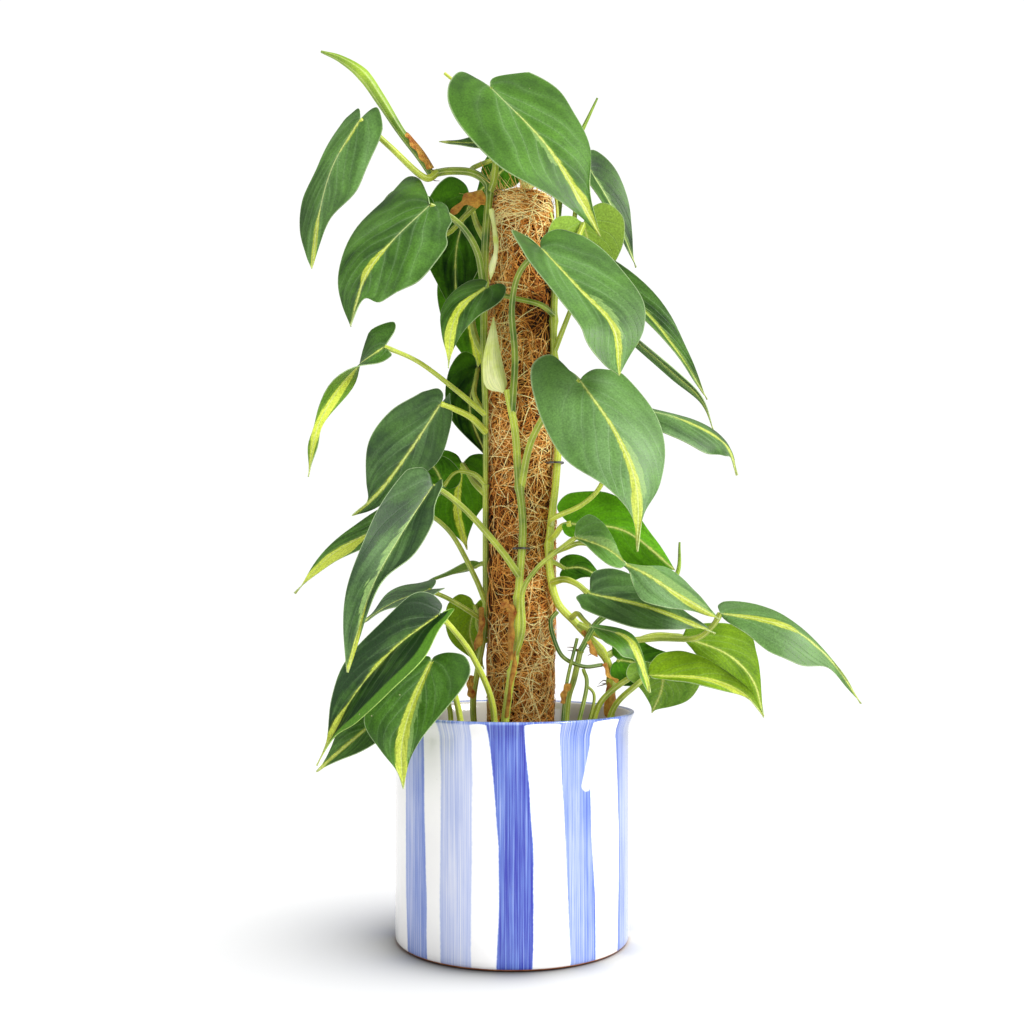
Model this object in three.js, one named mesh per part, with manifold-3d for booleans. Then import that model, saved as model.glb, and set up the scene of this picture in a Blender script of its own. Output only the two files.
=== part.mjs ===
// Potted philodendron with yellow-streaked leaves, climbing a coir pole in a glazed pot.
// Millimetres, +Z up. The origin is the centre of the pot's underside.
// The front of the plant faces -Y and +X is to the right of someone looking at it.

import * as THREE from 'three';
import Module from 'manifold-3d';

const wasm = await Module();
wasm.setup();

// Driving sizes of the pot
const POT_RADIUS = 75;
const POT_HEIGHT = 146;
const POT_WALL = 4;
const POT_FLOOR = 6;
const POT_SIDES = 40;
const LIP_FLARE = 3.5;
const LIP_HEIGHT = 5;
const LIP_ROUND = 0.8;
const MOUTH_TAPER = 15;
const FOOT_BEVEL = 2.5;

// Driving sizes of the soil and the pole
const SOIL_DEPTH_BELOW_RIM = 22;
const SOIL_BUMP = 1.6;
const POLE_X = 5.8;
const POLE_RADIUS = 21;
const POLE_TOP = 479;
const POLE_SIDES = 18;
const POLE_RINGS = 18;
const POLE_FOOT_IN_SOIL = 30;
const POLE_TOP_ROUND = 8;
const COIR_RELIEF = 0.9;
const COIR_BULGE = 1.6;
const COIR_HOLE_SIDES = 24;
const STAKE_RADIUS = 11;
const STAKE_SIDES = 16;
const STAKE_TOP_BELOW_COIR = 14;
const STAKE_FOOT_ABOVE_FLOOR = 20;

// Driving sizes of the plant
const BLADE_THICKNESS = 0.7;
const STALK_SIDES = 5;
const NARROW_BLADE = 31;
const STALK_RADII = [1.9, 1.5, 1.3];
const VINE_SIDES = 6;
const KNOT_SWELL = 0.3;
const KNOT_LENGTH = 0.012;
const VINE_TAPER = 0.12;
const ROOTED_DEPTH = 18;
const STRAIGHT_ABOVE_SOIL = 4;
const CLEARANCE = 0.32;

// The points of stems and leaves are measured in an upright plane through the pot's axis, as
// a viewer this far in front of the axis and this high sees them, and then moved along the
// line of sight until they are the third number in front of that plane.
const VIEWER_DISTANCE = 773;
const VIEWER_HEIGHT = 218;

const SOIL_TOP = POT_HEIGHT - SOIL_DEPTH_BELOW_RIM;
const TURN = 2 * Math.PI;
const rad = THREE.MathUtils.degToRad;

// Half of the heart-shaped outline: across in leaf widths and along in leaf lengths, from the
// notch round the lobe to the drip tip
const HEART = [
  [0, 0], [0.11, -0.14], [0.31, -0.17], [0.46, -0.02], [0.5, 0.2],
  [0.41, 0.47], [0.2, 0.71], [0.05, 0.88], [0, 1],
];

// Half of the outline of a sheath that a new leaf came out of
const LANCE = [
  [0, 0], [0.3, 0.02], [0.44, 0.12], [0.5, 0.28], [0.48, 0.46],
  [0.4, 0.62], [0.28, 0.76], [0.16, 0.87], [0.07, 0.95], [0, 1],
];

// Stems: points from the lowest one up, radius, and where the leaf nodes swell them
const VINES = {
  front: {
    path: [[-6, 139, 28], [-1, 165, 28], [2, 180, 27], [3, 205, 27], [5, 232, 27], [7, 265, 27],
      [4, 297, 27], [2, 325, 28], [-3, 352, 28]],
    radius: 3.0, knots: [0.25, 0.5, 0.75], rooted: true,
  },
  left: {
    path: [[-17, 300, 12], [-17, 336, 14], [-18, 375, 16], [-18, 418, 18], [-17, 448, 18],
      [-15, 477, 14], [-17, 486, 13], [-26, 492, 13], [-40, 493, 14], [-52, 491, 15]],
    radius: 3.1, knots: [0.34, 0.56, 1], rooted: false,
  },
  right: {
    path: [[63, 139, 8], [64, 160, 8], [60, 180, 12], [42, 201, 15], [29, 216, 17], [24, 240, 18],
      [25, 265, 17], [28, 290, 15], [30, 320, 12], [29, 350, 11], [27, 376, 11], [27, 400, 12],
      [28, 420, 11], [30, 445, 10]],
    radius: 2.9, knots: [0.154, 0.23, 0.462, 0.77, 0.846], rooted: true,
  },
  back: {
    path: [[-24, 139, 4], [-25, 152, 4], [-22, 172, 3], [-18, 195, 2], [-17, 215, 2], [-17, 240, 4],
      [-17, 268, 8], [-17, 291, 11]],
    radius: 2.4, knots: [0.14, 0.57, 1], rooted: true,
  },
  side: {
    path: [[34, 139, 22], [36, 152, 22], [40, 166, 24], [44, 184, 26]],
    radius: 2.4, knots: [0.33, 1], rooted: true,
  },
};

// Leaves. rib: the midrib from the notch to the tip. stalk: from the stem to the notch, whose
// point it shares. face: where the upper side looks. width: of the blade laid flat. fold and
// curl: of the left and the right half in degrees, seen with the tip hanging down. turn: how
// far the blade winds round its rib. lobes: their length against the outline's. drop: how far
// they bend back. wave: of the margin. belly: under 1 where the blade is widest nearer its tip.
const LEAVES = {
  leaf_01: {
    rib: [[-14, 547, 22], [20, 512, 42], [42, 478, 48], [57, 451, 44]], width: 63, lobes: [1.1, 0.4],
    face: [-0.2, -1, 0.3], fold: [28, -14], curl: [-10, -14], turn: 0, drop: 0.2, wave: 1.2,
    from: 'left', stalk: [[-15, 477, 14], [-11, 490, 16], [-10.5, 515, 17], [-13, 540, 18]],
  },
  leaf_02: {
    rib: [[50, 499, 0], [65, 471, 4], [80, 431, 6]], width: 27, lobes: [1, 1],
    face: [0.9, -0.3, 0.3], fold: [20, 20], curl: [0, 0], turn: 0, drop: 0, wave: 0.6,
    from: 'right', stalk: [[29, 432, 10], [37, 442, 8], [41, 468, 2], [44, 486, 0]],
  },
  leaf_03: {
    rib: [[46, 459, 16], [52, 438, 16], [57, 412, 16]], width: 50, lobes: [1, 1],
    face: [0.1, 1, 0.2], fold: [-10, -10], curl: [0, 0], turn: 0, drop: 0, wave: 0.8,
    from: 'right', stalk: [[28, 420, 11], [35, 432, 22], [42, 449, 22]],
  },
  leaf_05: {
    rib: [[19, 443, 56], [42, 418, 72], [65, 392, 82], [69, 361, 86]], width: 60, lobes: [1.1, 0.8],
    face: [0.25, -0.9, 0.3], fold: [30, 4], curl: [-30, -14], turn: 0, drop: 0.15, wave: 1,
    belly: 0.6,
    from: 'front', stalk: [[0, 338, 28], [2, 372, 32], [0, 405, 41], [5, 428, 50]],
  },
  leaf_06: {
    rib: [[50, 430, 34], [84, 404, 42], [107, 376, 42], [126, 346, 38]], width: 26, lobes: [0.8, 0.8],
    face: [0.3, -0.8, 0.5], fold: [24, 34], curl: [0, 0], turn: 0, drop: 0, wave: 1,
    from: 'right', stalk: [[27, 376, 11], [34, 394, 18], [42, 414, 26]],
  },
  leaf_07: {
    rib: [[82, 382, 42], [104, 363, 46], [122, 346, 46], [130, 325, 44]], width: 8, lobes: [0.5, 0.5],
    face: [-0.3, -0.6, -0.8], fold: [20, 20], curl: [0, 0], turn: 0, drop: 0, wave: 0.4,
    from: 'right', stalk: [[28, 420, 11], [38, 412, 12], [60, 396, 24]],
  },
  leaf_08: {
    rib: [[72, 341, 56], [106, 334, 60], [136, 318, 58], [145, 297, 56]], width: 36, lobes: [0.8, 0.8],
    face: [0, -0.7, 0.7], fold: [10, -20], curl: [-20, -20], turn: 0, drop: 0, wave: 1.2,
    belly: 0.8,
    from: 'right', stalk: [[25, 265, 17], [25, 268, 34], [30, 271, 50], [45, 278, 58], [57, 290, 60],
      [66, 315, 58]],
  },
  leaf_09: {
    rib: [[44, 358, 74], [67, 324, 90], [80, 290, 98], [81, 248, 104]], width: 62, lobes: [1.5, 0.4],
    face: [0.05, -1, 0.2], fold: [4, -18], curl: [-10, -16], turn: 0, drop: 0.1, wave: 1.4,
    from: 'front', stalk: [[6, 290, 27], [12, 318, 38], [24, 340, 54], [36, 352, 66]],
  },
  leaf_10: {
    rib: [[-98, 526, 30], [-115, 497, 36], [-124, 466, 37], [-129, 430, 32]], width: 41, lobes: [0.3, 0.6],
    face: [-0.1, -1, 0.2], fold: [-20, 8], curl: [-10, -10], turn: 0, drop: 0.2, wave: 1,
    belly: 0.7,
    from: 'left', stalk: [[-48, 492, 14.5], [-57, 489, 21], [-78, 508, 24], [-90, 519, 27]],
  },
  leaf_11: {
    rib: [[-53, 471, 50], [-77, 448, 62], [-94, 426, 68], [-104, 393, 68]], width: 62, lobes: [0.6, 0.1],
    face: [-0.1, -1, 0.2], fold: [-16, 2], curl: [-16, -8], turn: 0, drop: 0.2, wave: 1.2,
    belly: 0.68,
    from: 'left', stalk: [[-18, 418, 18], [-22, 440, 26], [-31, 456, 36], [-43, 466, 44]],
  },
  leaf_12: {
    rib: [[-66, 474, 26], [-82, 450, 34], [-98, 412, 38]], width: 38, lobes: [0.6, 0.6],
    face: [-0.2, -1, 0.3], fold: [-8, 8], curl: [-10, -10], turn: 0, drop: 0.05, wave: 1,
    from: 'left', stalk: [[-16, 478, 14], [-30, 464, 14], [-44, 452, 18], [-58, 464, 22]],
  },
  leaf_13: {
    rib: [[-27, 474, -32], [-36, 440, -32], [-35, 388, -32]], width: 58, lobes: [0.8, 0.8],
    face: [-0.2, -1, 0.2], fold: [8, 8], curl: [-8, -8], turn: 0, drop: 0, wave: 1,
    from: 'left', stalk: [[-17, 448, 18], [-22, 457, 2], [-25, 466, -18]],
  },
  leaf_14: {
    rib: [[-28, 424, -50], [-26, 392, -50], [-18, 350, -48]], width: 44, lobes: [0.8, 0.8],
    face: [-0.1, -1, 0.2], fold: [8, 8], curl: [-8, -8], turn: 0, drop: 0, wave: 1,
    from: 'left', stalk: [[-18, 375, 16], [-24, 388, 4], [-27, 410, -24]],
  },
  leaf_15: {
    rib: [[-17, 418, 38], [-32, 406, 46], [-39, 390, 48], [-41, 366, 46]], width: 30, lobes: [0.6, 0.8],
    face: [-0.1, -0.9, 0.4], fold: [-10, 10], curl: [-14, -14], turn: 0, drop: 0.1, wave: 0.8,
    from: 'right', stalk: [[27, 400, 12], [18, 407, 30], [2, 411, 35], [-9, 414, 36]],
  },
  leaf_17: {
    rib: [[-82, 380, 34], [-104, 363, 38], [-124, 331, 38], [-131, 296, 36]], width: 17, lobes: [0.4, 0],
    face: [-0.3, -1, 0.2], fold: [-10, -10], curl: [0, 0], turn: 230, drop: 0, wave: 0.4,
    from: 'left', stalk: [[-17, 336, 14], [-36, 352, 22], [-60, 370, 30]],
  },
  leaf_18: {
    rib: [[-46, 343, 38], [-65, 314, 42], [-85, 287, 44], [-103, 271, 42]], width: 41, lobes: [0.5, 0.5],
    face: [-0.1, -1, 0.2], fold: [20, -60], curl: [-10, -6], turn: 0, drop: 0.1, wave: 1.2,
    belly: 0.62,
    from: 'left', stalk: [[-17, 325, 14], [-26, 334, 24], [-38, 340, 34]],
  },
  leaf_19: {
    rib: [[-51, 290, 60], [-73, 256, 76], [-92, 220, 88], [-106, 170, 94]], width: 40, lobes: [0.3, 0.1],
    face: [-0.1, -1, 0.2], fold: [20, 34], curl: [-10, -10], turn: 0, drop: 0.1, wave: 1.4,
    belly: 0.75,
    from: 'front', stalk: [[5, 232, 27], [-7, 249, 34], [-27, 272, 46], [-42, 285, 54]],
  },
  leaf_21: {
    rib: [[-64, 275, 30], [-92, 260, 38], [-117, 245, 40], [-140, 221, 36]], width: 24, lobes: [0.7, 0.7],
    face: [-0.1, -0.8, 0.6], fold: [10, 10], curl: [-10, -10], turn: 0, drop: 0, wave: 1,
    from: 'back', stalk: [[-17, 215, 2], [-24, 232, 8], [-38, 258, 18], [-52, 271, 26]],
  },
  leaf_22: {
    rib: [[-47, 207, 62], [-76, 185, 72], [-103, 153, 80], [-126, 110, 84]], width: 50, lobes: [0.8, 0.35],
    face: [-0.1, -1, 0.3], fold: [26, 48], curl: [-10, -6], turn: 0, drop: 0.1, wave: 1.4,
    belly: 0.72,
    from: 'soil', stalk: [[-11, 139, 32], [-13, 152, 34], [-25, 180, 46], [-38, 198, 56]],
  },
  leaf_23: {
    rib: [[-52, 177, 64], [-65, 147, 73], [-71, 122, 80], [-70, 95, 82]], width: 54, lobes: [0.7, 0.9],
    face: [0.1, -1, 0.2], fold: [0, 28], curl: [-12, -12], turn: 0, drop: 0.1, wave: 1.2,
    from: 'soil', stalk: [[-31, 139, 40], [-36, 153, 44], [-44, 168, 54]],
  },
  leaf_24: {
    rib: [[-84, 142, 56], [-104, 125, 62], [-126, 106, 62]], width: 28, lobes: [0.8, 0.8],
    face: [-0.1, -0.9, 0.5], fold: [20, 20], curl: [0, 0], turn: 0, drop: 0, wave: 0.8,
    from: 'soil', stalk: [[-39, 139, 38], [-42, 152, 40], [-62, 156, 50]],
  },
  leaf_25: {
    rib: [[-54, 223, 30], [-76, 215, 36], [-97, 202, 42]], width: 34, lobes: [1, 1],
    face: [-0.2, -0.35, 0.9], fold: [10, 10], curl: [-10, -10], turn: 0, drop: 0, wave: 1,
    from: 'back', stalk: [[-18, 203, 2], [-30, 211, 14], [-42, 218, 22]],
  },
  leaf_26: {
    rib: [[-24, 213, -26], [-27, 194, -26], [-18, 172, -26]], width: 36, lobes: [0.8, 0.8],
    face: [-0.1, -1, 0.3], fold: [8, 8], curl: [-8, -8], turn: 0, drop: 0, wave: 0.8,
    from: 'back', stalk: [[-17, 190, 2], [-22, 200, -8], [-22, 208, -18]],
  },
  leaf_27: {
    rib: [[-22, 366, -26], [-27, 338, -27], [-14, 304, -26]], width: 37, lobes: [0.8, 0.8],
    face: [-0.1, -1, 0.2], fold: [8, 8], curl: [-8, -8], turn: 0, drop: 0, wave: 0.8,
    from: 'left', stalk: [[-17, 336, 14], [-24, 348, 2], [-23, 360, -16]],
  },
  leaf_28: {
    rib: [[-32, 304, -26], [-35, 276, -27], [-29, 249, -26]], width: 46, lobes: [0.8, 0.8],
    face: [-0.1, -1, 0.2], fold: [8, 8], curl: [-8, -8], turn: 0, drop: 0, wave: 0.8,
    from: 'back', stalk: [[-17, 285, 10], [-24, 292, 0], [-29, 300, -16]],
  },
  leaf_29: {
    rib: [[-44, 290, 14], [-50, 302, 14], [-62, 312, 14]], width: 26, lobes: [0.8, 0.8],
    face: [0, 1, 0.4], fold: [8, 8], curl: [0, 0], turn: 0, drop: 0, wave: 0.8,
    from: 'back', stalk: [[-17, 291, 11], [-25, 298, 12], [-36, 299, 13]],
  },
  leaf_30: {
    rib: [[-24, 238, -4], [-40, 233, -4], [-58, 227, -2]], width: 20, lobes: [0.6, 0.6],
    face: [-0.1, 0.2, 1], fold: [10, 10], curl: [0, 0], turn: 0, drop: 0, wave: 0.6,
    from: 'back', stalk: [[-17, 240, 4], [-20, 240, 0]],
  },
  leaf_31: {
    rib: [[38, 266, 40], [73, 261, 44], [105, 236, 46]], width: 54, lobes: [0.2, 0.8],
    face: [0, -0.9, 0.4], fold: [-46, 4], curl: [-10, -10], turn: 0, drop: 0.1, wave: 1.2,
    from: 'right', stalk: [[24, 255, 17], [28, 259, 26], [32, 264, 34]],
  },
  leaf_32: {
    rib: [[62, 252, 68], [84, 238, 76], [108, 222, 82], [134, 204, 84]], width: 42, lobes: [0.5, 0.5],
    face: [0, -0.9, 0.4], fold: [4, -36], curl: [-12, -12], turn: 0, drop: 0.1, wave: 1.4,
    from: 'right', stalk: [[24, 246, 18], [34, 250, 40], [48, 253, 60]],
  },
  leaf_33: {
    rib: [[49, 221, 48], [90, 211, 58], [131, 195, 62]], width: 40, lobes: [0.2, 0.6],
    face: [0, -0.9, 0.4], fold: [24, 8], curl: [-10, -10], turn: 0, drop: 0.1, wave: 1.2,
    belly: 0.75,
    from: 'right', stalk: [[26, 228, 18], [34, 230, 32], [42, 227, 42]],
  },
  leaf_34: {
    rib: [[134, 208, 50], [160, 204, 56], [184, 196, 58], [207, 176, 57], [225, 150, 55]],
    width: 39, lobes: [0, 0.5],
    face: [0, -0.9, 0.4], fold: [14, -34], curl: [-10, -10], turn: 0, drop: 0.1, wave: 1.2,
    from: 'right', stalk: [[42, 201, 15], [66, 191, 22], [95, 192, 30], [118, 192, 42],
      [129, 200, 47]],
  },
  leaf_35: {
    rib: [[110, 193, 8], [138, 182, 12], [155, 165, 13], [162, 141, 14]], width: 42, lobes: [0.6, 0.6],
    face: [0, -0.9, 0.4], fold: [6, -16], curl: [-10, -10], turn: 0, drop: 0.1, wave: 1.2,
    from: 'right', stalk: [[60, 180, 12], [75, 188, 6], [92, 194, 5]],
  },
  leaf_36: {
    rib: [[88, 168, 46], [124, 166, 52], [148, 157, 52], [162, 142, 50]], width: 42, lobes: [0.4, 0.4],
    face: [0, -0.8, 0.6], fold: [60, 0], curl: [-10, -10], turn: 0, drop: 0, wave: 1.2,
    from: 'soil', stalk: [[60, 139, 24], [66, 148, 29], [80, 162, 45]],
  },
  leaf_37: {
    rib: [[98, 172, 33], [100, 158, 34], [98, 141, 35]], width: 46, lobes: [0.6, 0.6],
    face: [0.1, 1, 0.2], fold: [-6, -6], curl: [0, 0], turn: 0, drop: 0, wave: 0.8,
    from: 'soil', stalk: [[50, 139, 26], [58, 152, 26], [84, 171, 30]],
  },
  leaf_38: {
    rib: [[50, 200, 54], [76, 190, 70], [89, 157, 76]], width: 24, lobes: [0.6, 0.6],
    face: [0.2, -0.9, 0.5], fold: [10, 10], curl: [-10, -10], turn: 0, drop: 0, wave: 1,
    from: 'right', stalk: [[38, 205, 15.5], [42, 208, 30], [46, 204, 44]],
  },
  leaf_39: {
    rib: [[69, 178, 15], [88, 176, 16], [110, 182, 15]], width: 34, lobes: [0.7, 0.7],
    face: [0, -0.9, 0.4], fold: [8, 8], curl: [-8, -8], turn: 0, drop: 0, wave: 1,
    from: 'right', stalk: [[62, 168, 11], [65, 172, 14]],
  },
  leaf_40: {
    rib: [[34, 237, 14], [46, 237, 14], [62, 228, 16]], width: 18, lobes: [0.6, 0.6],
    face: [0, -0.9, 0.4], fold: [8, 8], curl: [-8, -8], turn: 0, drop: 0, wave: 0.8,
    from: 'right', stalk: [[24, 242, 18], [29, 240, 16]],
  },
  leaf_41: {
    rib: [[41, 257, 74], [60, 250, 82], [78, 235, 84]], width: 32, lobes: [0.3, 0.8],
    face: [0, -0.9, 0.4], fold: [72, 10], curl: [-10, -10], turn: 0, drop: 0, wave: 0.8,
    from: 'front', stalk: [[2, 180, 27], [7, 198, 34], [7, 222, 35], [16, 237, 44], [30, 249, 62]],
  },
  leaf_43: {
    rib: [[-6, 513, 2], [-26, 511, 6], [-47, 512, 8]], width: 16, lobes: [0.5, 0.5],
    face: [0, -0.8, 0.6], fold: [8, 8], curl: [-8, -8], turn: 0, drop: 0, wave: 0.6,
    from: 'left', stalk: [[-16, 480, 14], [-12, 492, 6], [-8, 506, 1]],
  },
  leaf_46: {
    rib: [[-2, 497, -17], [-12, 488, -17], [-25, 476, -17]], width: 28, lobes: [0.8, 0.8],
    face: [0.1, -1, 0.3], fold: [8, 8], curl: [-8, -8], turn: 0, drop: 0, wave: 0.8,
    from: 'left', stalk: [[-24, 491, 13], [-25, 495, 2], [-8, 501, -12]],
  },
};

// Rolled new leaves, each a slim spindle on its own stalk
const SHOOTS = {
  shoot_left: {
    path: [[-52, 491, 15], [-60, 503, 15], [-72, 519, 16], [-84, 538, 18], [-96, 555, 20],
      [-110, 565, 22], [-123, 570, 22]],
    radii: [2.2, 2.4, 2.6, 3.4, 3.8, 2.2, 0.7], from: 'left',
  },
  shoot_right: {
    path: [[30, 445, 10], [30, 464, -4], [35, 500, -14], [45, 519, -14], [55, 540, -12]],
    radii: [1.8, 1.8, 1.8, 1.5, 0.7], from: 'right',
  },
  shoot_low: {
    path: [[44, 184, 26], [58, 205, 28], [90, 218, 34], [106, 233, 36], [108, 254, 36]],
    radii: [1.8, 1.8, 1.6, 1.4, 0.6], from: 'side',
  },
};

// Sheaths: dried or pale scale leaves that wrap a stem, given as leaves are
const SHEATHS = {
  sheath_front: {
    rib: [[-6, 350, 31], [-11, 372, 36], [-12, 399, 36]], width: 18, face: [0, -1, 0.1],
    fold: [-8, -8], curl: [-60, -60], look: 'pale',
  },
  sheath_left: {
    rib: [[-18, 478, 16], [-28, 475, 22], [-40, 465, 24]], width: 16, face: [0.2, -1, 0.4],
    fold: [-10, -10], curl: [-40, -40], look: 'dried',
  },
  sheath_shoot: {
    rib: [[-51, 495, 19], [-58, 506, 20], [-68, 518, 20]], width: 9, face: [0.7, -0.8, 0.4],
    fold: [-10, -10], curl: [-50, -50], look: 'dried',
  },
  sheath_pole: {
    rib: [[12, 482, 4], [10, 488, 5], [7, 495, 4]], width: 12, face: [0, -1, 0.1],
    fold: [-10, -10], curl: [-40, -40], look: 'pale',
  },
  sheath_low: {
    rib: [[-1, 178, 32], [-1, 198, 32], [0, 216, 32]], width: 7, face: [-0.6, -1, 0.1],
    fold: [-10, -10], curl: [-50, -50], look: 'dried',
  },
  sheath_right: {
    rib: [[63, 141, 12], [64, 153, 13], [62, 164, 14]], width: 10, face: [0.2, -1, 0.1],
    fold: [-10, -10], curl: [-60, -60], look: 'dried',
  },
};

// Wire pins that hold the stems to the coir: the stem's place and the legs' half distance
const PINS = {
  pin_front: { at: [6, 250, 27], reach: 4.6 },
  pin_right: { at: [28.5, 305, 13.5], reach: 4.6 },
};
const PIN_RADIUS = 0.7;
const PIN_SIDES = 5;
const PIN_STEPS = 14;
const PIN_OVER_STEM = 4.6;
const PIN_LEG_DEPTH = 8;

// A measured point moved along its line of sight to its place in front of the axis
function seen([across, up, front]) {
  const scale = (VIEWER_DISTANCE - front) / VIEWER_DISTANCE;
  return new THREE.Vector3(across * scale, -front, VIEWER_HEIGHT + (up - VIEWER_HEIGHT) * scale);
}

function spline(points) {
  return new THREE.CatmullRomCurve3(points, false, 'catmullrom', 0.5);
}

function material(color, roughness) {
  return new THREE.MeshStandardMaterial({ color, roughness, metalness: 0 });
}

function surface(points, triangles) {
  const geometry = new THREE.BufferGeometry();
  const flat = points.flatMap((p) => [p.x, p.y, p.z]);
  geometry.setAttribute('position', new THREE.Float32BufferAttribute(flat, 3));
  geometry.setIndex(triangles.flat());
  return geometry;
}

// The solid of a closed mesh with shared vertices
function solidOf(geometry) {
  return new wasm.Manifold(new wasm.Mesh({
    numProp: 3,
    vertProperties: new Float32Array(geometry.attributes.position.array),
    triVerts: new Uint32Array(geometry.index.array),
  }));
}

function geometryOf(solid) {
  const mesh = solid.getMesh();
  const geometry = new THREE.BufferGeometry();
  geometry.setAttribute('position', new THREE.BufferAttribute(mesh.vertProperties, 3));
  geometry.setIndex(new THREE.BufferAttribute(mesh.triVerts, 1));
  return geometry;
}

// The largest body of a solid that a cut may have left in scraps
function largest(solid) {
  const bodies = solid.decompose();
  return bodies.reduce((best, body) => (body.volume() > best.volume() ? body : best));
}

// A closed skin over rings of points, each end closed by a fan round its centre
function loft(rings) {
  const sides = rings[0].length;
  const points = rings.flat();
  const triangles = [];
  for (let ring = 0; ring < rings.length - 1; ring += 1) {
    for (let side = 0; side < sides; side += 1) {
      const next = (side + 1) % sides;
      const a = ring * sides + side;
      const b = ring * sides + next;
      triangles.push([a, b, b + sides], [a, b + sides, a + sides]);
    }
  }
  const middle = (ring) => ring.reduce((sum, p) => sum.add(p), new THREE.Vector3())
    .divideScalar(sides);
  const first = points.push(middle(rings[0])) - 1;
  const last = points.push(middle(rings[rings.length - 1])) - 1;
  const lastRing = (rings.length - 1) * sides;
  for (let side = 0; side < sides; side += 1) {
    const next = (side + 1) % sides;
    triangles.push([first, next, side], [last, lastRing + side, lastRing + next]);
  }
  return surface(points, triangles);
}

// A round rod along a curve, whose radius is given along it from 0 to 1
function rod(curve, radiusAt, sides, steps) {
  const rings = [];
  let across = null;
  for (let step = 0; step <= steps; step += 1) {
    const t = step / steps;
    const along = curve.getTangent(t);
    if (!across) {
      across = new THREE.Vector3(1, 0.2, 0.1);
    }
    across.addScaledVector(along, -across.dot(along)).normalize();
    const third = new THREE.Vector3().crossVectors(along, across);
    const centre = curve.getPoint(t);
    const ring = [];
    for (let side = 0; side < sides; side += 1) {
      const angle = (side / sides) * TURN;
      ring.push(centre.clone()
        .addScaledVector(across, radiusAt(t) * Math.cos(angle))
        .addScaledVector(third, radiusAt(t) * Math.sin(angle)));
    }
    rings.push(ring);
  }
  return solidOf(loft(rings));
}

// A value between the entries of a list, spread evenly from 0 to 1
function between(list, t) {
  const place = Math.min(t, 0.9999) * (list.length - 1);
  const index = Math.floor(place);
  return THREE.MathUtils.lerp(list[index], list[index + 1], place - index);
}

// The points of a stem, with its rooted end going straight down into the soil
function stemPoints(path, rooted) {
  const points = path.map(seen);
  if (rooted) {
    const foot = points[0];
    foot.z = SOIL_TOP + STRAIGHT_ABOVE_SOIL;
    points.unshift(new THREE.Vector3(foot.x, foot.y, SOIL_TOP - ROOTED_DEPTH));
  }
  return points;
}

function vineRadius(vine, t) {
  const bump = (knot) => Math.exp(-(((t - knot) / KNOT_LENGTH) ** 2));
  const swell = vine.knots.reduce((sum, knot) => sum + bump(knot), 0);
  return vine.radius * (1 + KNOT_SWELL * swell - VINE_TAPER * t);
}

function vineSolid(vine, extra) {
  const points = stemPoints(vine.path, vine.rooted);
  const steps = points.length * 2;
  return rod(spline(points), (t) => vineRadius(vine, t) + extra, VINE_SIDES, steps);
}

// The place of a blade's point: left is 0 or 1, across is in widths and along in lengths
function bladePoint(leaf, curve, left, across, along, edge, phase) {
  const t = THREE.MathUtils.clamp(along, 0, 1);
  const length = curve.getLength();
  const forward = curve.getTangent(t);
  const up = new THREE.Vector3(...leaf.face);
  up.addScaledVector(forward, -up.dot(forward)).normalize();
  up.applyAxisAngle(forward, rad((leaf.turn ?? 0) * t));
  const side = new THREE.Vector3().crossVectors(forward, up).multiplyScalar(left ? 1 : -1);
  const distance = across * leaf.width;
  const fold = rad(leaf.fold[left ? 0 : 1]);
  const bend = rad(leaf.curl[left ? 0 : 1]) / (leaf.width / 2);
  const curled = Math.abs(bend) > 1e-5;
  const out = curled
    ? (Math.sin(fold + bend * distance) - Math.sin(fold)) / bend : distance * Math.cos(fold);
  const rise = curled
    ? (Math.cos(fold) - Math.cos(fold + bend * distance)) / bend : distance * Math.sin(fold);
  const back = Math.min(along, 0) * length * (leaf.lobes?.[left ? 0 : 1] ?? 1);
  const wave = (leaf.wave ?? 0) * edge * edge * Math.sin(phase);
  return curve.getPoint(t)
    .addScaledVector(forward, back)
    .addScaledVector(side, out)
    .addScaledVector(up, rise + back * (leaf.drop ?? 0) + wave);
}

// A thin closed blade: the same triangles above and below, joined round the margin
function bladeSolid(leaf, outline, columns) {
  const curve = spline(leaf.rib.map(seen));
  const rows = outline.length - 1;
  const points = [];
  const indexOf = new Map();
  const vertex = (left, row, column) => {
    const onRib = column === 0 || row === 0 || row === rows;
    const key = onRib ? `rib ${row}` : `${left} ${row} ${column}`;
    if (!indexOf.has(key)) {
      const edge = onRib ? 0 : column / columns;
      const start = (row / rows) ** 1.5;
      const across = outline[row][0] * edge;
      const margin = outline[row][1] > 0 ? outline[row][1] ** (leaf.belly ?? 1) : outline[row][1];
      const along = THREE.MathUtils.lerp(start, margin, edge);
      const phase = TURN * (row * 0.31 + left * 0.4) + leaf.width;
      indexOf.set(key, points.push(bladePoint(leaf, curve, left, across, along, edge, phase)) - 1);
    }
    return indexOf.get(key);
  };
  const sheet = [];
  for (const left of [1, 0]) {
    for (let row = 0; row < rows; row += 1) {
      for (let column = 0; column < columns; column += 1) {
        const a = vertex(left, row, column);
        const b = vertex(left, row, column + 1);
        const c = vertex(left, row + 1, column + 1);
        const d = vertex(left, row + 1, column);
        const faces = left ? [[a, b, c], [a, c, d]] : [[a, c, b], [a, d, c]];
        sheet.push(...faces.filter((face) => new Set(face).size === 3));
      }
    }
  }
  return thicken(points, sheet);
}

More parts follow.
